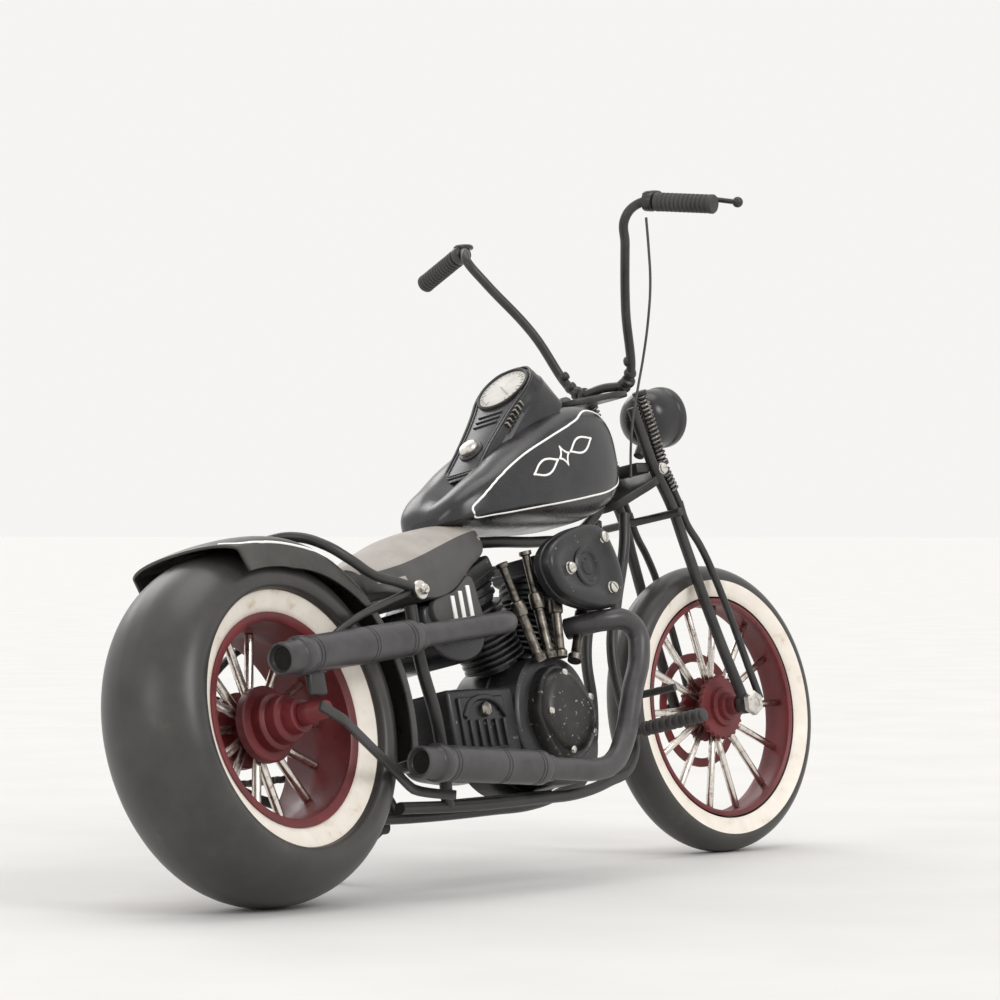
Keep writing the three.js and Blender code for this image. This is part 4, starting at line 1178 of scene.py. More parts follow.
def axle_bar(down, start, slope):
    """The flat strip: start and slope say where and how fast it draws in."""
    rings = []
    for point in smooth(bar_middle, 30):
        x, z = point
        inward = min(max((x - start) * slope, 0), 12)
        y = down * (28.7 - inward)
        rings.append([Vector((x + a, y + b, z + c)) for a, b, c in (
            (0.5, -0.7, 1.3),
            (0.5, 0.7, 1.3),
            (-0.5, 0.7, -1.3),
            (-0.5, -0.7, -1.3),
        )])
    return bevelled(skinned(rings), 0.3)


put(
    axle_bar(-1, 4, 0.3),
    "axle_strip_right",
    "frame",
    BIKE,
    frame_enamel,
    "axle_bar_right",
)
put(axle_bar(1, 30, 0.6), "axle_strip_left", "frame", BIKE, frame_enamel, "axle_bar_left")
base = block(70, 122, -7.0, 7.0, 22.8, 24.2)
put(base, "base_strip", "frame", BIKE, frame_enamel, "base_plate")

rear_axle_nose = turned(
    [
        (1.5, -22.4),
        (1.5, 18.75),
        (3.2, 18.75),
        (3.25, 19.4),
        (3.0, 21.8),
        (2.9, 22.2),
        (2.75, 22.6),
        (2.5, 26.6),
        (2.2, 27.2),
        (0.9, 27.2),
        (0.8, 26.7),
    ],
    segments=40,
)
rear_axle_nose.data.transform(along((0, 0, 0), (0, -1, 0)))
left_nut = turned([(2.6, 22.5), (3.1, 23.0), (3.1, 25.6), (2.6, 26.2)], segments=6)
left_nut.data.transform(along((0, 0, 0), (0, 1, 0)))
put(rear_axle_nose, "rear_axle_pin", "frame", REAR_WHEEL, wheel_red, "rear_axle")
put(left_nut, "rear_axle_nut", "frame", REAR_WHEEL, screw_metal, smooth=20)
print("frame done")

# %% [markdown]
# The seat is a slab of metal, painted grey. Rings across the bike give its shape. The faces that look up
# take a lighter copy of the grey as painted highlight, and its sides a darker copy as painted shade.

# %% Seat
seat_sizes = [
    (49.5, 8.5, 93.0, 88.6, 84.2),
    (52.0, 13.5, 95.0, 88.0, 83.6),
    (60.0, 16.8, 98.4, 88.6, 81.6),
    (70.0, 17.2, 101.8, 90.8, 81.0),
    (80.0, 16.6, 104.0, 94.0, 83.6),
    (92.0, 14.8, 105.6, 98.0, 90.2),
    (101.0, 13.0, 105.8, 100.6, 94.6),
    (105.6, 10.4, 104.8, 101.4, 97.8),
]


def seat_ring(size):
    """One section across the seat: a crowned top with a crisp edge over upright sides."""
    x, half, crown, edge, base = size
    right = [
        Vector((share, crown - (crown - edge) * share**2.2))
        for share in (0, 0.15, 0.3, 0.45, 0.58, 0.7, 0.79, 0.84)
    ]
    right += [Vector((0.865, edge + 0.4)), Vector((0.885, edge - 0.4))]
    right += [
        Vector((0.94, (edge * 2 + base) / 3)), Vector((0.985, (edge + base * 2) / 3)),
        Vector((0.99, base + 0.3)),
    ]
    right += [Vector((0.92, base)), Vector((0.5, base))]
    left = [Vector((-p.x, p.y)) for p in reversed(right[1:])]
    return [Vector((x, -p.x * half, p.y)) for p in right + left]


seat = skinned([seat_ring(size) for size in smooth(seat_sizes, 36)])
bevelled(seat, 0.5, angle=50)
seat.data.materials.append(seat_side_grey)
seat.data.materials.append(seat_top_lit_grey)
# Faces that look up take the lighter grey as painted highlight; the rest keep the darker grey as painted
# shade.
for face in seat.data.polygons:
    if face.normal.z > 0.42:
        face.material_index = 1
put(seat, "seat_slab", "frame", BIKE, None, "seat", smooth=38)

# %% [markdown]
# The oil tank lies across the bike under the seat, with a rounded underside. A flat plate on its side
# carries plain raised bars.

# %% Oil tank and its side plate
oil_outline = [
    (66.5, 79.0),
    (67.0, 70.0),
    (72.0, 64.4),
    (82.0, 62.6),
    (90.5, 65.4),
    (94.4, 72.0),
    (93.2, 80.0),
    (89.5, 86.4),
    (84.5, 82.6),
    (76.0, 79.6),
]
oil_tank = stacked(
    oil_outline,
    [(-14.6, 1.6), (-14.5, 1.0), (-14.0, 0.3), (-13.2, 0), (13.2, 0), (14.0, 0.3), (14.5, 1.0), (14.6, 1.6)],
)
put(oil_tank, "oil_tank_shell", "frame", BIKE, body_enamel, "oil_tank")
side_plate = stacked(
    [(69.6, 80.2), (70.2, 74.4), (80.0, 73.0), (91.0, 74.0), (91.4, 80.0), (89.0, 87.6), (80.0, 83.4)],
    [(-16.0, 0.7), (-15.9, 0.3), (-15.5, 0.05), (-14.4, 0)],
)
put(side_plate, "side_plate", "frame", BIKE, seat_side_grey)
plain_bars = joined(*[
    block(x, x + 1.7, -16.35, -15.6, low, high, edge=0.2) for x, low, high in (
        (77.6, 75.0, 81.8), (81.6, 75.2, 83.2), (85.6, 75.6, 84.8),
    )
])
put(plain_bars, "side_plate_bars", "frame", BIKE, stripe_white)
print("seat and oil tank done")

# %% [markdown]
# The fuel tank is two soap-bar lobes joined over the top tube. Each section is a rounded box, flatter
# at the back. A crease runs along the middle of its top, where the two halves meet.

# %% Fuel tank
tank_sizes = [
    (93.2, 5.0, 107.6, 105.0, 105.8),
    (95.0, 9.6, 111.0, 104.7, 106.4),
    (98.0, 12.6, 114.0, 104.6, 107.2),
    (104.0, 15.6, 118.0, 104.6, 108.4),
    (112.0, 17.8, 122.0, 104.6, 110.0),
    (122.0, 19.4, 127.8, 104.6, 112.6),
    (136.0, 20.6, 134.4, 104.7, 116.4),
    (150.0, 20.9, 140.0, 105.0, 120.4),
    (161.0, 20.4, 142.6, 106.0, 123.0),
    (170.0, 18.8, 142.8, 108.4, 124.8),
    (176.0, 15.6, 140.4, 112.0, 125.4),
    (180.0, 11.0, 136.4, 116.6, 126.0),
    (182.0, 6.6, 132.4, 120.4, 126.3),
]
VALLEY_MM = 2.6  # the middle dips between the two lobes
CREASE_MM = 1.3


def tank_ring(size):
    """One section across the tank."""
    x, half, top, bottom, wide = size
    along_tank = (x - 93) / 89
    ring = []
    for i in range(64):
        angle = 2 * math.pi * i / 64
        c, s = math.cos(angle), math.sin(angle)
        fullness = 0.5 + 0.2 * along_tank if s > 0 else 0.66
        y = half * math.copysign(abs(c) ** fullness, c)
        rise = (top - wide) if s > 0 else (wide - bottom)
        z = wide + rise * math.copysign(abs(s) ** fullness, s)
        if s > 0:
            z -= VALLEY_MM * math.exp(-((y / 5.0) ** 2)) * min(1, along_tank * 8)
            z -= CREASE_MM * math.exp(-((y / 1.1) ** 2)) * min(1, along_tank * 8)
        ring.append(Vector((x, y, z)))
    return ring


tank = skinned([tank_ring(size) for size in smooth(tank_sizes, 56)])
put(tank, "fuel_tank_shell", "frame", BIKE, body_enamel, "fuel_tank", smooth=45)

# %% [markdown]
# Pinstripes are lines of lining paint, a little proud of the enamel. Each one starts as a drawn line
# near the surface. Its points are moved onto the surface, and a thin bead follows them.

# %% Pinstripes


def stripe(piece, name, points, width, closed=False, count=90):
    """A painted line on a piece, through points that lie near its surface in upright millimetres."""
    to_mm = BIKE.inverted()
    line = []
    for point in smooth(points, count, closed=closed):
        _, place, normal, _ = piece.closest_point_on_mesh(BIKE @ point)
        line.append(to_mm @ (place - normal * width * 0.22 * MM))
    bead = tube(line, width / 2, closed=closed, sides=2, resolution=1)
    put(bead, name, "frame", BIKE, stripe_white, smooth=60)


tank_loop = [
    (164.8, -15.4, 139.4),
    (153.2, -17.6, 134.6),
    (138.6, -18.0, 129.4),
    (124.4, -17.2, 123.8),
    (112.0, -15.8, 117.0),
    (104.0, -14.0, 111.6),
    (100.4, -12.4, 108.6),
    (102.0, -13.0, 106.2),
    (108.4, -15.6, 105.8),
    (122.0, -18.2, 106.8),
    (136.8, -19.6, 108.4),
    (152.6, -19.6, 110.8),
    (167.0, -18.6, 113.4),
    (177.4, -14.0, 120.0),
    (177.0, -13.2, 132.0),
]
stripe(tank, "tank_stripe_right", tank_loop, 0.8, closed=True, count=160)
stripe(tank, "tank_stripe_left", mirrored(tank_loop), 0.8, closed=True, count=160)
fender_line = [
    fender_point(share, degrees)
    for share, degrees in (
        (-0.4, -17.0),
        (-0.6, -15.5),
        (-0.72, -8.0),
        (-0.78, 2.0),
        (-0.78, 12.0),
        (-0.7, 22.0),
        (-0.62, 31.0),
    )
]
stripe(fender, "fender_stripe_right", fender_line, 0.8)
stripe(fender, "fender_stripe_left", mirrored(fender_line), 0.8)

# A plain ornament takes the place of lettering on each side of the tank: two leaves and a diamond.
ORNAMENT = Vector((141.0, -20.0, 123.4))


def ornament(name, side):
    slope = math.radians(20)
    for number, (offset, long, high) in enumerate(((-10.4, 6.8, 2.3), (0, 2.8, 3.2), (10.4, 6.8, 2.3))):
        points = []
        for i in range(24):
            angle = 2 * math.pi * i / 24
            out = Vector(
                (
                    long * math.cos(angle) ** 3 if number == 1 else long * math.cos(angle),
                    high * math.sin(angle) ** 3,
                )
            )
            x = ORNAMENT.x + (offset + out.x) * math.cos(slope) - out.y * math.sin(slope)
            z = ORNAMENT.z + (offset + out.x) * math.sin(slope) + out.y * math.cos(slope)
            points.append((x, side * 20.4, z))
        stripe(tank, f"{name}_{number}", points, 0.8, closed=True, count=48)


ornament("tank_ornament_right", -1)
ornament("tank_ornament_left", 1)

# %% [markdown]
# The console is folded sheet that rises from the tank's back to carry the dial. It widens to a round
# top, and a raised double border runs round its flat face.

# %% Console, dial and knob
DASH_TILT = math.radians(42)
DASH_FOOT = Vector((112.6, 0, 120.2))
DASH_UP = Vector((math.cos(DASH_TILT), 0, math.sin(DASH_TILT)))
DASH_OUT = Vector((-math.sin(DASH_TILT), 0, math.cos(DASH_TILT)))
DIAL_U = 43.5
KNOB_U = 13.6
# A drawing in the console's own plane: X up the slope, Y across, Z out of the face.
ON_DASH = Matrix.Translation(DASH_FOOT) @ Matrix((
    (DASH_UP.x, 0, DASH_OUT.x, 0),
    (0, 1, 0, 0),
    (DASH_UP.z, 0, DASH_OUT.z, 0),
    (0, 0, 0, 1),
))
dash_sizes = [
    (0.0, 6.8, 8.4),
    (1.2, 7.4, 9.0),
    (14.0, 7.8, 10.0),
    (28.0, 8.8, 11.2),
    (35.0, 9.8, 12.2),
    (41.0, 10.9, 13.2),
    (46.0, 10.6, 13.2),
    (50.0, 9.0, 10.6),
    (53.0, 5.6, 6.6),
    (54.4, 2.4, 3.2),
]


def dash_ring(size):
    u, above, below = size
    flange = 1.0 + 2.0 * max(0.0, 1 - u / 44)
    half = [
        (above - 1.0, 0),
        (above - 0.35, -0.25),
        (above, -0.9),
        (above + 0.3, -2.6),
        (above + flange, -3.6),
        (above + flange, -4.4),
        (below, -13.0),
    ]
    return [Vector((u, y, w)) for y, w in half + [(-y, w) for y, w in reversed(half)]]


console = skinned([dash_ring(size) for size in smooth(dash_sizes, 40)])
put(
    console,
    "console_body",
    "frame",
    BIKE @ ON_DASH,
    body_enamel,
    "dash_console",
    smooth=40,
)


def face_outline(inset):
    """The console's face as a loop of (u, y), drawn in from its edge."""
    side = [
        (max(u, 1.0 + inset) if u < 20 else min(u, 54.0 - inset), max(y - inset, 0.8))
        for u, y, _ in dash_sizes
    ]
    return side + [(u, -y) for u, y in reversed(side)]


for name, inset, radius in (("outer", 1.0, 0.45), ("inner", 2.3, 0.3)):
    border = tube([(u, y, 0.0) for u, y in face_outline(inset)], radius, closed=True, sides=3, resolution=3)
    put(border, f"console_border_{name}", "frame", BIKE @ ON_DASH, body_enamel, smooth=60)
ribs = joined(*[
    block(u, u + 0.9, -4.6, 4.6, -0.4, 0.45, edge=0.2) for u in (26.0, 28.4, 30.8)
])
put(ribs, "console_ribs", "frame", BIKE @ ON_DASH, body_enamel)
steps = joined(*[
    block(
        u, u + 0.7, -9.9 - (u - 28) * 0.09, -8.2 - (u - 28) * 0.09, -2.2, -0.1, edge=0.15
    ) for u in range(24, 35, 2)
])
put(steps, "console_step_ribs", "frame", BIKE @ ON_DASH, rubbed_metal)

dial = turned([(8.5, -0.4), (8.5, 0.3), (8.2, 0.45), (5.0, 0.7), (0.8, 0.8), (0.5, 0.8)], segments=64)
dial.data.transform(Matrix.Translation((DIAL_U, 0, 0)))
put(dial, "dial_face", "frame", BIKE @ ON_DASH, dial_paper, "dial")
bezel = turned(
    [(8.3, 0.2), (8.5, 0.9), (8.9, 1.1), (9.3, 0.8), (9.4, -0.4), (8.4, -0.4)], segments=64, ring=True
)
bezel.data.transform(Matrix.Translation((DIAL_U, 0, 0)))
put(bezel, "dial_bezel", "frame", BIKE @ ON_DASH, frame_enamel)
ticks = []
for i in range(25):
    angle = math.radians(30 + 300 * i / 24)
    long = 1.7 if i % 4 == 0 else 0.9
    tick = block(7.7 - long, 7.7, -0.1, 0.1, 0.4, 0.72, edge=0.03)
    tick.data.transform(Matrix.Translation((DIAL_U, 0, 0)) @ Matrix.Rotation(angle + math.pi, 4, "Z"))
    ticks.append(tick)
needle = block(-1.2, 5.6, -0.18, 0.18, 0.75, 0.95, edge=0.05)
needle.data.transform(Matrix.Translation((DIAL_U, 0, 0)) @ Matrix.Rotation(math.radians(222), 4, "Z"))
put(joined(*ticks, needle), "dial_marks", "frame", BIKE @ ON_DASH, tick_ink)

knob_base = turned([(4.0, -0.3), (4.1, 0.3), (3.8, 0.7), (3.2, 0.8)], segments=40)
knob_base.data.transform(Matrix.Translation((KNOB_U, 0, 0)))
put(knob_base, "knob_base", "frame", BIKE @ ON_DASH, frame_enamel)
knob = turned(
    [(2.0, 0.4), (2.9, 0.7), (3.1, 1.1), (3.1, 2.0), (2.7, 2.6), (1.6, 2.9), (0.6, 3.0)], segments=40
)
knob.data.transform(Matrix.Translation((KNOB_U, 0, 0)))
put(knob, "knob_cap", "frame", BIKE @ ON_DASH, screw_metal, "dash_knob")
print("tank and console done")

# %% [markdown]
# The engine is built up from cast covers. Each cover is its outline, repeated and drawn in as it
# comes out from the engine, so that it has a rounded edge. The crankcase is one such body.

# %% Crankcase and covers
crank_outline = [
    (103.5, 40),
    (107, 31),
    (116, 25.6),
    (130, 25.2),
    (139, 30),
    (142.4, 40),
    (141.5, 51),
    (136, 60),
    (127, 63.4),
    (116, 63.0),
    (108, 57),
    (104, 49),
]
crankcase = stacked(
    crank_outline,
    [
        (-13.2, 1.4), (-12.9, 0.6), (-12.2, 0), (-0.8, 0), (-0.5, -0.5), (0.5, -0.5), (0.8, 0),
        (12.2, 0), (12.9, 0.6), (13.2, 1.4),
    ],
)
put(crankcase, "crankcase_casting", "frame", BIKE, engine_enamel, "crankcase")

timing_outline = [
    (108.6, 47.0),
    (111.6, 37.0),
    (118.0, 31.2),
    (127.0, 31.4),
    (133.8, 37.4),
    (136.4, 46.0),
    (131.4, 54.4),
    (122.6, 60.0),
    (114.4, 57.4),
]
timing = stacked(
    timing_outline,
    [
        (-13.2, 0), (-16.5, 0), (-17.2, 0.4), (-17.4, 1.2), (-18.6, 1.6), (-19.8, 3.0),
        (-20.4, 5.0), (-20.6, 8.0), (-20.4, 11.0),
    ],
)
put(timing, "timing_cover_casting", "frame", BIKE, cover_enamel, "timing_cover")
cover_screws = []
for x, z in ((111.6, 46.0), (119.0, 34.2), (131.0, 38.8), (132.4, 49.4), (121.6, 57.2)):
    screw = turned([(1.2, 0), (1.2, 0.5), (0.9, 0.9), (0.5, 1.0)], segments=20)
    screw.data.transform(along((x, -19.2, z), (0, -1, 0)))
    cover_screws.append(screw)
put(joined(*cover_screws), "timing_cover_screws", "frame", BIKE, screw_metal)

primary_outline = [
    (84, 44),
    (88, 35),
    (98, 32),
    (112, 31),
    (126, 33),
    (134, 40),
    (135, 48),
    (129, 57),
    (117, 60),
    (100, 56),
    (88, 53),
]
primary = stacked(
    primary_outline,
    [
        (13.4, 0), (18.4, 0), (19.4, 0.3), (20.1, 1.1), (20.4, 2.4), (20.0, 2.9), (20.0, 5.6),
        (20.5, 6.4), (20.6, 8.0),
    ],
)
put(primary, "primary_cover_casting", "frame", BIKE, cover_enamel, "primary_cover")

# %% [markdown]
# A cylinder is a turned barrel with thin cooling fins, then its head with more fins and a rocker box
# across the top. Both cylinders are the same, leaning forwards and back from the crankcase.

# %% Cylinders
CRANK = Vector((122, 0, 47))
FIN_R = 9.6
FIN_PITCH = 1.85


def cylinder():
    """A cylinder about Z with its foot at the origin."""
    profile = [(6.6, 0)]
    for i in range(10):
        start = 1.8 + i * FIN_PITCH
        reach = FIN_R if i < 8 else FIN_R - 0.4
        profile += [
            (6.6, start), (reach, start + 0.1), (reach + 0.05, start + 0.5),
            (reach, start + 0.75), (6.6, start + 0.9),
        ]
    profile += [
        (7.8, 20.8), (7.8, 21.6), (8.8, 21.9), (8.8, 22.9), (7.9, 23.2), (7.9, 24.0),
        (8.8, 24.3), (8.8, 25.4), (7.6, 26.0),
    ]
    barrel = turned(profile, segments=56)
    rocker = block(-7.5, 7.5, -8.7, 8.7, 25.8, 32.8, edge=1.2)
    rib = block(-7.8, 7.8, -9.0, 9.0, 27.6, 28.6, edge=0.3)
    cap = block(-5.6, 5.6, -6.6, 6.6, 32.4, 33.4, edge=0.4)
    return joined(barrel, rocker, rib, cap)


for name, lean_by in (("rear", -22.5), ("front", 22.5)):
    way = Vector((math.sin(math.radians(lean_by)), 0, math.cos(math.radians(lean_by))))
    piece = cylinder()
    piece.data.transform(
        Matrix.Translation(CRANK + way * 17.0) @ Matrix.Rotation(math.radians(lean_by), 4, "Y")
    )
    put(
        piece,
        f"{name}_cylinder_casting",
        "frame",
        BIKE,
        engine_enamel,
        f"{name}_cylinder",
    )

# %% [markdown]
# A pushrod tube is a turning too: a foot in the crankcase, a thick sleeve at the middle and a thin rod
# above it. One profile, stretched to each tube's length, keeps the four alike.

# %% Pushrod tubes
pushrods = [
    ("rear_outer", (106.6, -15.0, 91.4), (115.6, -15.4, 63.8)),
    ("rear_inner", (119.4, -15.0, 95.0), (121.4, -15.4, 64.6)),
    ("front_inner", (131.6, -15.0, 91.0), (127.2, -15.4, 64.6)),
    ("front_outer", (148.6, -15.0, 86.0), (134.6, -15.4, 63.0)),
]
for name, top, foot in pushrods:
    way = Vector(top) - Vector(foot)
    long = way.length
    rod = turned(
        [
            (2.1, -2.2),
            (2.2, -0.4),
            (1.7, 0.2),
            (1.5, 0.6),
            (1.5, long * 0.42),
            (2.0, long * 0.43),
            (2.15, long * 0.45),
            (2.15, long * 0.56),
            (1.9, long * 0.58),
            (1.25, long * 0.59),
            (1.25, long - 1.4),
            (1.9, long - 1.1),
            (1.9, long),
        ],
        segments=28,
    )
    rod.data.transform(along(foot, way))
    put(rod, f"pushrod_tube_{name}", "frame", BIKE, tube_metal, f"pushrod_{name}")

# %% [markdown]
# The air cleaner is a rounded triangle, domed at its edge and dished in the middle, with three bright
# slotted bolts. A short neck joins it to the cylinders.

# %% Air cleaner
air_outline = [
    (117.2, 88.6),
    (122.0, 80.4),
    (134.0, 76.4),
    (146.0, 75.6),
    (152.6, 79.6),
    (153.6, 88.6),
    (149.4, 98.6),
    (143.0, 101.4),
    (132.0, 99.6),
    (121.0, 95.0),
]
air_cover = stacked(
    air_outline,
    [
        (-18.4, 1.2), (-18.5, 0.4), (-19.0, 0), (-21.0, 0), (-21.4, 0.35), (-21.8, 0),
        (-23.8, 0), (-24.7, 0.4), (-25.2, 1.2), (-25.4, 2.4), (-25.4, 4.4), (-25.0, 5.2),
        (-24.7, 8.0), (-24.6, 10.4),
    ],
)
air_neck = turned([(4.4, 0), (4.0, 0.6), (4.0, 7.4), (4.8, 8.0)], segments=40)
air_neck.data.transform(along((134.8, -10.8, 88.0), (0, -1, 0)))
put(
    joined(air_cover, air_neck),
    "air_cleaner_cover",
    "frame",
    BIKE,
    engine_enamel,
    "air_cleaner",
)
dish = turned(
    [(6.2, 0), (6.2, 0.5), (5.6, 0.9), (4.8, 0.8), (4.2, 0.2), (2.6, 0.1), (2.2, 0.5), (0.8, 0.6)],
    segments=48,
)
dish.data.transform(along((136.0, -24.5, 88.0), (0, -1, 0)))
put(dish, "air_cleaner_dish", "frame", BIKE, engine_enamel)
for number, (x, z) in enumerate(((126.6, 87.6), (146.6, 97.0), (146.4, 81.4))):
    bolt = slotted_head(1.7, 1.3, 0.45, washer=1.15)
    turn = Matrix.Rotation(math.radians(20 + 55 * number), 4, "Z")
    bolt.data.transform(along((x, -25.3, z), (0, -1, 0)) @ turn)
    put(bolt, f"air_cleaner_bolt_{number}", "frame", BIKE, screw_metal, smooth=30)
print("engine covers done")

# %% [markdown]
# The gearbox is a rounded casting with upright ribs, an arched rib and a bolt on its right. Its small
# sprocket stands out on the left, where the chain starts.

# %% Gearbox
gearbox_parts = [
    block(71.5, 103.0, -13.4, 11.8, 34.8, 55.0, edge=1.6),
    block(74.5, 96.0, -14.6, -13.0, 37.0, 52.4, edge=0.7),
]
gearbox_parts += [
    block(x, x + 1.4, -15.6, -13.8, 37.4, 45.6, edge=0.4) for x in (77.0, 81.0, 85.0, 89.0, 93.0)
]
arch = tube(
    [
        (75.6, -14.8, 46.4), (79.6, -14.8, 50.6), (85.4, -14.8, 52.0), (91.2, -14.8, 50.6),
        (95.2, -14.8, 46.4),
    ],
    0.9,
)
gearbox = joined(*gearbox_parts, arch)
put(gearbox, "gearbox_casting", "frame", BIKE, engine_enamel, "gearbox")
gear_bolt = turned([(2.2, 0), (2.3, 0.4), (2.3, 1.3), (1.9, 1.7)], segments=6)
gear_bolt.data.transform(along((85.4, -14.6, 48.4), (0, -1, 0)))
put(gear_bolt, "gearbox_bolt", "frame", BIKE, rubbed_metal, smooth=20)
OUT_SPROCKET = Vector((76, 0, 45))
SPROCKET_Y = 20.4
out_sprocket = turned(
    [(2.4, 11.0), (2.4, 19.6), (4.8, 19.8), (5.0, 20.0), (5.0, 20.8), (4.8, 21.0), (1.6, 21.2)], segments=36
)
out_sprocket.data.transform(along((OUT_SPROCKET.x, 0, OUT_SPROCKET.z), (0, 1, 0)))
put(out_sprocket, "gearbox_sprocket", "frame", BIKE, spring_metal)

# %% [markdown]
# The chain runs round a fixed loop: half a circle at each sprocket and two straight runs. A Curve
# modifier would bend the links, so each stiff link is placed between two points of the loop instead.

# %% Drive chain
LINK_PITCH = 4.6
chain_loop = []
BIG_R = 12.95
SMALL_R = 6.45
for i in range(13):
    angle = math.pi * (0.5 + i / 12)
    chain_loop.append(Vector((BIG_R * math.cos(angle), SPROCKET_Y, REAR_AXLE.z + BIG_R * math.sin(angle))))
for i in range(9):
    angle = math.pi * (-0.5 + i / 8)
    chain_loop.append(
        Vector(
            (
                OUT_SPROCKET.x + SMALL_R * math.cos(angle),
                SPROCKET_Y,
                OUT_SPROCKET.z + SMALL_R * math.sin(angle),
            )
        )
    )
corners = chain_loop + [chain_loop[0]]
lengths = [(b - a).length for a, b in zip(corners, corners[1:])]
LINKS = 2 * round(sum(lengths) / LINK_PITCH / 2)


def on_chain(distance):
    """The point of the chain's loop at a distance along it."""
    distance %= sum(lengths)
    for a, b, length in zip(corners, corners[1:], lengths):
        if distance <= length:
            return a.lerp(b, distance / length)
        distance -= length
    return corners[0]


links = []
step = sum(lengths) / LINKS
for i in range(LINKS):
    here, there = on_chain(i * step), on_chain((i + 1) * step)
    spread = 0.85 if i % 2 else 0.5
    place = along(here, there - here)
    for side in (-1, 1):
        link = plate(
            [
                (-0.9, 0), (0, 1.0), (step / 2, 0.7), (step, 1.0), (step + 0.9, 0), (step, -1.0),
                (step / 2, -0.7), (0, -1.0),
            ],
            0.3,
            0.06,
            resolution=2,
        )
        turn = math.atan2(there.z - here.z, there.x - here.x)
        link.data.transform(
            Matrix.Translation(here + Vector((0, side * spread, 0))) @ Matrix.Rotation(-turn, 4, "Y")
        )
        links.append(link)
    roller = turned([(0.55, -1.05), (0.55, 1.05)], segments=10)
    roller.data.transform(along(here, (0, 1, 0)))
    links.append(roller)
put(joined(*links), "chain_links", "frame", BIKE, spring_metal, "drive_chain", smooth=30)
print("chain links:", LINKS)

# %% [markdown]
# Each foot peg is a rod with rubber rings, turned in one go from its lug to its tip.

# %% Foot pegs
for side, down in (("right", -1), ("left", 1)):
    profile = [(1.3, 10.6), (1.3, 14.0), (2.0, 14.3)]
    for i in range(9):
        start = 14.6 + i * 2.45
        profile += [
            (2.2, start), (2.3, start + 0.5), (2.3, start + 1.3), (2.1, start + 1.6),
            (1.75, start + 1.8), (1.75, start + 2.2),
        ]
    profile += [(2.1, 36.8), (1.9, 37.2), (0.8, 37.4)]
    peg = turned(profile, segments=32)
    peg.data.transform(along((164.4, 0, 39.2), (0, down, 0)))
    put(peg, f"foot_peg_rubber_{side}", "frame", BIKE, grip_rubber, f"foot_peg_{side}")

# %% [markdown]
# The side stand is one bent rod with a flat round foot. The foot is drawn level after the lean, so that
# it lies flat on the floor. Its height follows from the lean and from how far out it stands.

# %% Side stand
SETTLE = 0.577
foot_y = 38.0
foot = Vector((66.0, foot_y, (foot_y * math.sin(LEAN) - SETTLE) / math.cos(LEAN)))
leg = tube([(67, 14.6, 20.6), (66.6, 26, 15.0), tuple(foot + Vector((0, -1.2, 2.0)))], 1.45, sides=6)
pivot = turned([(1.6, -0.6), (2.3, -0.5), (2.3, 0.5), (1.6, 0.6)], segments=28)
pivot.data.transform(along((67, 14.55, 20.6), (0, 1, 0)))
pad = turned([(3.0, 0.0), (3.2, 0.25), (3.2, 1.2), (2.8, 1.6)], segments=36)
pad.data.transform(Matrix.Translation(foot) @ Matrix.Rotation(LEAN, 4, "X"))
put(
    joined(leg, pivot, pad),
    "side_stand_rod",
    "stand",
    BIKE,
    frame_enamel,
    "side_stand",
    smooth=50,
)

# %% [markdown]
# The fork is a springer: a thick rigid leg and a thin sprung leg on each side, which meet at the axle.
# Each leg is a bent rod, and the rigid one ends in a turned eye for the axle.

# %% Fork legs
rear_leg_route = [
    (195.6, -10.6, 142.5),
    (197.8, -10.6, 135.2),
    (202.2, -10.6, 122.2),
    (207.6, -10.6, 110.9),
    (210.6, -11.3, 97.9),
    (217.6, -12.8, 70.0),
    (225.0, -14.3, 45.6),
    (226.0, -14.3, 41.6),
]
front_leg_route = [
    (211.6, -10.8, 112.0),
    (213.4, -10.8, 105.2),
    (217.9, -11.3, 97.7),
    (221.5, -11.7, 89.4),
    (231.9, -13.9, 51.0),
    (232.9, -14.2, 47.0),
]
TO_EYE = Matrix.Translation(FRONT_AXLE) @ Matrix.Rotation(WHEEL_TILT, 4, "X")
for side, flip, down in (("right", list, -1), ("left", mirrored, 1)):
    eye = turned(
        [(1.85, -1.7), (2.9, -1.7), (3.1, -1.3), (3.1, 1.3), (2.9, 1.7), (1.85, 1.7)],
        segments=40,
        ring=True,
    )
    eye.data.transform(TO_EYE @ along((0, down * 14.3, 0), (0, 1, 0)))
    leg = joined(tube(flip(rear_leg_route[:-1]), 1.75, sides=6), eye)
    put(
        leg,
        f"fork_leg_rod_{side}",
        "steering",
        FORK,
        frame_enamel,
        f"fork_leg_{side}",
        smooth=60,
    )
    thin_leg = tube(flip(front_leg_route), 1.2, sides=6)
    put(
        thin_leg,
        f"spring_leg_rod_{side}",
        "steering",
        FORK,
        frame_enamel,
        f"spring_leg_{side}",
        smooth=60,
    )

# %% [markdown]
# Real coils of wire stand above each sprung leg. A Screw modifier could wind them, but a tube through
# points on a helix takes the same helper as every other rod. A short rebound coil sits under the bracket.

# %% Fork springs
WIRE_R = 0.42


def coil(start, end, radius, turns, wire=WIRE_R):
    """A coil of wire between two points."""
    steps = 12 * turns
    length = (Vector(end) - Vector(start)).length
    points = []
    for i in range(steps + 1):
        angle = 2 * math.pi * i / 12
        points.append((radius * math.cos(angle), radius * math.sin(angle), length * i / steps))
    piece = tube(points, wire, sides=2, resolution=1)
    piece.data.transform(along(start, Vector(end) - Vector(start)))
    return piece


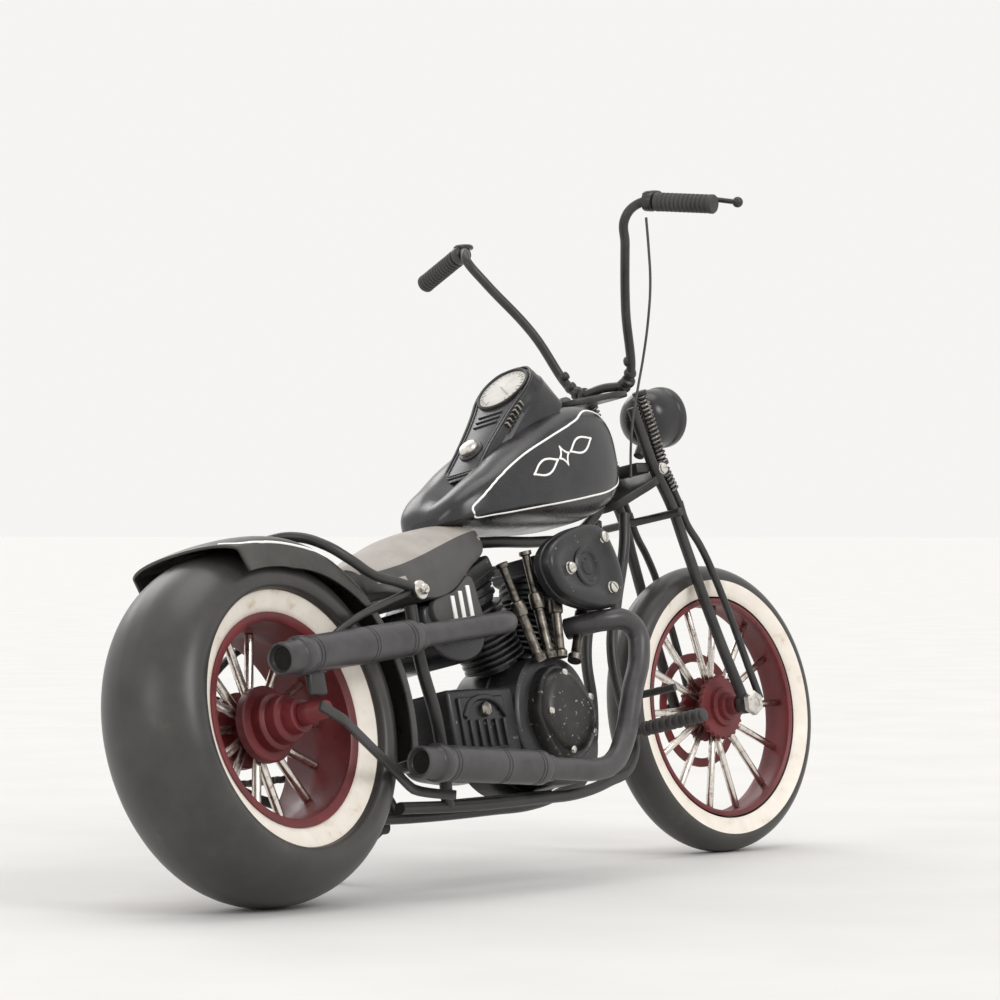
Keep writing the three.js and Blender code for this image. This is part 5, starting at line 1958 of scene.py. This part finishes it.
spring_top, spring_foot, rebound_foot = (200.4, -10.6, 146.8), (206.4, -10.0, 124.6), (210.0, -10.6, 115.6)
for side, flip, down in (("right", list, -1), ("left", mirrored, 1)):
    top, foot_point, rebound = flip([spring_top, spring_foot, rebound_foot])
    coils = joined(
        coil(top, foot_point, 2.05, 17),
        coil(Vector(foot_point).lerp(Vector(rebound), 0.2), rebound, 1.6, 6),
    )
    put(
        coils,
        f"fork_spring_coils_{side}",
        "steering",
        FORK,
        spring_metal,
        f"fork_spring_{side}",
        smooth=60,
    )
    core = tube([top, foot_point, rebound, (211.6, down * 10.8, 111.4)], 1.1, sides=5)
    put(core, f"spring_core_{side}", "steering", FORK, frame_enamel, smooth=60)
    caps = []
    way = Vector(foot_point) - Vector(top)
    for place, size in ((Vector(top) - way.normalized() * 0.4, 2.4), (Vector(foot_point), 2.5)):
        cap = turned([(size - 0.3, -0.7), (size, -0.5), (size, 0.5), (size - 0.3, 0.7)], segments=32)
        cap.data.transform(along(place, way))
        caps.append(cap)
    put(joined(*caps), f"spring_caps_{side}", "steering", FORK, frame_enamel)
    boss = turned([(2.5, 0), (2.6, 0.4), (2.6, 2.0)], segments=32)
    boss.data.transform(along((204.2, down * 10.2, 122.6), (0, down, 0)))
    put(boss, f"spring_bracket_{side}", "steering", FORK, frame_enamel)
    screw = slotted_head(1.6, 0.9, 0.4, washer=1.2)
    screw.data.transform(along((204.2, down * 12.5, 122.6), (0, down, 0)))
    put(screw, f"spring_screw_{side}", "steering", FORK, screw_metal, smooth=30)
brace = turned([(0.9, -16.6), (1.3, -16.2), (1.3, 16.2), (0.9, 16.6)], segments=24)
brace.data.transform(along((205.0, 0, 107.9), (0, 1, 0)))
put(brace, "fork_cross_rod", "steering", FORK, frame_enamel, "fork_brace")

# %% [markdown]
# Two flat plates join the legs to the stem. Each starts as a flat outline, gets its thickness and round
# edge from the curve's own bevel, and is then tipped to its slope.

# %% Fork trees and stem


def tree(z, thickness, reach, half, slope):
    """A rounded plate from the stem forwards to the legs, rising by a slope."""
    outline = [
        (-3.4, -4.0), (4.0, -half * 0.8), (reach - 3, -half), (reach, -half * 0.6),
        (reach, half * 0.6), (reach - 3, half), (4.0, half * 0.8), (-3.4, 4.0),
    ]
    piece = plate(outline, thickness, 0.4)
    flat = Matrix.Rotation(math.radians(-90), 4, "X")
    at = on_neck(z)
    piece.data.transform(Matrix.Translation(at) @ Matrix.Rotation(math.radians(-slope), 4, "Y") @ flat)
    return piece


stem_foot = on_neck(116.5, -4.2)
stem_long = (on_neck(142.4, 5.4) - stem_foot).length
stem = turned(
    [
        (1.9, 0.0),
        (1.9, stem_long - 3.4),
        (3.0, stem_long - 3.2),
        (3.1, stem_long - 1.2),
        (2.4, stem_long - 0.4),
        (1.0, stem_long),
    ],
    segments=32,
)
stem.data.transform(along(stem_foot, NECK_AXIS))
cross = block(194.0, 200.4, -10.4, 10.4, 121.6, 125.0, edge=0.8)
trees = joined(stem, tree(113.6, 2.8, 17.5, 11.2, 26.07), tree(145.2, 2.0, 22.0, 10.6, 6), cross)
put(trees, "fork_tree_plates", "steering", FORK, frame_enamel, "fork_trees")

# %% [markdown]
# The headlamp is a bullet: a turned shell with a rolled rim, and a clear domed glass over its dished
# black front. It hangs on a short stalk from the lower tree.

# %% Headlamp
LAMP = Vector((215.4, 0, 141.0))
LAMP_WAY = Vector((math.cos(math.radians(4)), 0, math.sin(math.radians(4))))
shell = turned(
    [
        (0.9, -8.3),
        (2.2, -8.1),
        (3.6, -7.8),
        (5.2, -7.1),
        (6.7, -6.2),
        (7.9, -5.0),
        (8.7, -3.5),
        (9.2, -1.6),
        (9.4, 0.6),
        (9.5, 3.6),
        (9.6, 4.6),
        (9.8, 4.9),
        (9.9, 5.6),
        (9.9, 6.9),
        (9.8, 7.5),
        (9.3, 7.7),
        (8.8, 7.3),
        (8.7, 6.4),
        (5.0, 4.6),
        (0.8, 3.8),
    ],
    segments=64,
)
shell.data.transform(along(LAMP, LAMP_WAY))
stalk = tube([tuple(LAMP + Vector((-3, 0, -6))), tuple(LAMP + Vector((-7.6, 0, -12.2)))], 1.7, sides=6)
put(
    joined(shell, stalk),
    "headlamp_shell",
    "steering",
    FORK,
    body_enamel,
    "headlamp",
    smooth=40,
)
lamp_glass_piece = turned(
    [(8.6, 6.5), (8.6, 7.2), (7.2, 7.9), (5.0, 8.6), (2.6, 9.0), (0.8, 9.15)], segments=64
)
lamp_glass_piece.data.transform(along(LAMP, LAMP_WAY))
put(lamp_glass_piece, "headlamp_glass", "steering", FORK, lamp_glass, "headlamp_lens", smooth=60)
print("fork done")

# %% [markdown]
# The handlebar is one bent rod. Its two risers start in knotted collars between the springs, and each
# end carries a perch with an oval cap and a ribbed rubber grip.

# %% Handlebar
BAR_BEND = Vector((181.8, 38.3, 203.1))
GRIP_WAY = (Vector((186.8, 63.6, 196.9)) - BAR_BEND).normalized()
half_bar = [
    Vector((196.2, 9.8, 151.0)),
    Vector((195.6, 12.4, 152.6)),
    Vector((188.6, 20.2, 172.8)),
    Vector((180.4, 30.4, 191.2)),
    Vector((177.6, 34.4, 198.8)),
    Vector((180.8, 38.0, 202.5)),
    BAR_BEND + GRIP_WAY * 5.0,
    BAR_BEND + GRIP_WAY * 25.2,
]
other_half = [Vector((p.x, -p.y, p.z)) for p in reversed(half_bar)]
bar = tube([tuple(p) for p in other_half + [Vector((196.2, 0, 151.0))] + half_bar], 1.5, sides=6)
put(bar, "handlebar_rod", "steering", BARS, frame_enamel, "handlebar", smooth=60)


def to_side(point, down):
    return Vector((point.x, down * point.y, point.z))


for side, down in (("right", -1), ("left", 1)):
    way = to_side(GRIP_WAY, down)
    collars = []
    for place, aim, size in (
        ((196.6, down * 8.6, 150.4), (0, down, 0.05), 2.4),
        ((196.0, down * 11.0, 151.4), (-0.3, down * 0.9, 0.5), 2.3),
        ((195.4, down * 12.8, 153.6), (-0.33, down * 0.33, 0.9), 2.0),
        ((194.2, down * 14.1, 157.2), (-0.33, down * 0.33, 0.9), 1.9),
    ):
        knot = turned(
            [
                (1.45, -1.3), (size - 0.15, -0.9), (size, -0.3), (size, 0.3), (size - 0.15, 0.9),
                (1.45, 1.3),
            ],
            segments=32,
        )
        knot.data.transform(along(place, aim))
        collars.append(knot)
    put(joined(*collars), f"riser_collars_{side}", "steering", BARS, frame_enamel)
    perch = turned([(2.5, 1.0), (3.0, 1.3), (3.1, 2.0), (3.1, 3.8), (3.0, 4.3), (2.5, 4.6)], segments=36)
    perch.data.transform(along(to_side(BAR_BEND, down), way))
    cap_at = to_side(BAR_BEND + GRIP_WAY * 2.8, down) + Vector((1.6, 0, 2.4))
    oval = turned([(2.6, -0.9), (2.9, -0.4), (2.9, 0.3), (2.5, 0.9), (1.2, 1.2)], segments=36)
    oval.data.transform(Matrix.Translation(cap_at) @ Matrix.Diagonal((1.35, 0.85, 0.8, 1)))
    put(joined(perch, oval), f"perch_{side}", "steering", BARS, frame_enamel)
    rings = [(2.3, 5.0), (2.9, 5.2), (3.0, 5.6), (3.0, 6.4), (2.7, 6.7)]
    for i in range(11):
        start = 7.0 + i * 1.5
        rings += [(2.6, start), (2.95, start + 0.25), (2.95, start + 0.95), (2.6, start + 1.2)]
    rings += [(2.6, 23.6), (3.0, 24.0), (3.0, 25.2), (2.7, 25.6), (0.8, 25.7)]
    grip = turned(rings, segments=40)
    grip.data.transform(along(to_side(BAR_BEND, down), way))
    put(
        grip,
        f"grip_rubber_{side}",
        "steering",
        BARS,
        grip_rubber,
        f"grip_{side}",
        smooth=30,
    )

# %% [markdown]
# The brake lever is a tapered rod with a ball at its end, on a short hinge pin. The cable is a thin tube
# that stays fixed at both ends, so it needs no slack and no bones.

# %% Lever and cable
lever = tube(
    [(187.8, -42.2, 203.0), (189.2, -47.5, 202.6), (191.8, -54.9, 200.8), (196.0, -64.4, 197.8)],
    [1.05, 0.95, 0.8, 0.8],
    sides=5,
)
ball = turned(
    [
        (0.35, -1.66), (0.9, -1.44), (1.4, -0.97), (1.68, -0.3), (1.68, 0.3), (1.4, 0.97),
        (0.9, 1.44), (0.35, 1.66),
    ],
    segments=32,
)
ball.data.transform(Matrix.Translation((196.0, -64.4, 197.8)))
hinge = turned([(1.1, -1.2), (1.5, -1.0), (1.5, 1.0), (1.1, 1.2)], segments=28)
hinge.data.transform(Matrix.Translation((187.8, -42.2, 203.0)))
put(
    joined(lever, ball, hinge),
    "brake_lever_rod",
    "lever",
    BARS,
    frame_enamel,
    "brake_lever",
    smooth=50,
)
cable = tube(
    [
        (179.8, -41.0, 196.4),
        (182.2, -38.2, 187.6),
        (184.9, -34.6, 177.6),
        (187.4, -29.6, 167.4),
        (189.8, -23.6, 157.2),
        (190.8, -18.4, 147.6),
        (190.0, -15.4, 139.0),
        (188.4, -13.8, 129.0),
        (187.0, -13.2, 119.6),
    ],
    0.42,
    sides=4,
)
put(cable, "brake_cable_run", "steering", FORK, cable_black, "brake_cable", smooth=60)

# %% [markdown]
# The front axle is a bright pin through both eyes of the fork. It ends in a hexagonal nut on the right,
# which is a turning with six sides.

# %% Front axle and nut
axle = turned([(1.5, -16.35), (1.5, 16.35), (3.6, 16.4), (3.9, 16.8), (3.9, 18.4), (3.4, 19.0)], segments=36)
axle.data.transform(along((0, 0, 0), (0, 1, 0)))
put(axle, "front_axle_pin", "steering", FRONT_WHEEL, screw_metal, "front_axle")
nut = turned([(3.3, 16.35), (3.9, 16.8), (3.9, 18.5), (3.3, 19.0), (1.9, 19.0), (1.7, 18.6)], segments=6)
nut.data.transform(along((0, 0, 0), (0, -1, 0)))
put(
    nut,
    "front_axle_hex_nut",
    "steering",
    FRONT_WHEEL,
    screw_metal,
    "front_axle_nut",
    smooth=20,
)
print("bars done")

# %% [markdown]
# The studio is a pale floor that runs out to the horizon under soft wide lights, as far off as the sky.
# The floor is just dark enough that lit floor and air look the same, so no edge shows between them.

# %% Floor and light
bpy.ops.object.select_all(action="DESELECT")
bpy.ops.mesh.primitive_plane_add(size=120, location=(0, 0, 0))
floor = active()
floor.name = "studio_floor"
floor_paper, surface, place = new_material("pale_paper_floor", roughness=0.9)
fibre = add_node(floor_paper, "ShaderNodeTexNoise", {"Scale": 1 / (60 * MM), "Detail": 4.0}, Vector=place)
wire(
    floor_paper,
    ramp(floor_paper, fibre.outputs["Fac"], [(0.3, "#d3d2d0"), (0.7, "#d8d7d5")]),
    surface,
    "Base Color",
)
floor.data.materials.append(floor_paper)

world = bpy.data.worlds.new("studio_air")
bpy.context.scene.world = world
world.use_nodes = True
world.node_tree.nodes["Background"].inputs["Color"].default_value = linear("#fbfaf8")
world.node_tree.nodes["Background"].inputs["Strength"].default_value = 0.95


def soft_sun(name, direction, strength, width):
    """A far, wide light that shines from a direction; width is its angle in the sky in degrees."""
    bpy.ops.object.light_add(type="SUN", location=Vector(direction))
    sun = active()
    sun.name = name
    sun.data.energy = strength
    sun.data.angle = math.radians(width)
    sun.rotation_euler = Vector(direction).to_track_quat("Z", "Y").to_euler()


soft_sun("top_sun", (0.1, 0.1, 1.0), 0.69, 42)
soft_sun("back_left_sun", (0.36, 0.79, 0.5), 0.36, 26)
soft_sun("right_sun", (-0.14, -0.82, 0.55), 0.9, 24)
soft_sun("rear_sun", (-0.9, 0.15, 0.4), 0.3, 18)

# %% [markdown]
# The camera stands low behind the bike, to its right. A long lens keeps the wheels nearly round.

# %% Camera
CAMERA_FROM_AXLE = Vector((-0.76806, -0.65728, 0.05343))
HEADING = math.radians(36.73)
bpy.ops.object.camera_add(location=rear_axle_place + CAMERA_FROM_AXLE)
camera = active()
camera.data.lens = 133.07
camera.data.sensor_width = 36
look = Vector((math.cos(HEADING), math.sin(HEADING), 0.0087))
camera.rotation_euler = look.to_track_quat("-Z", "Y").to_euler()
bpy.context.scene.camera = camera
bpy.context.scene.view_settings.view_transform = "Standard"
print("lights:", len(bpy.data.lights), "lens:", round(camera.data.lens, 2))
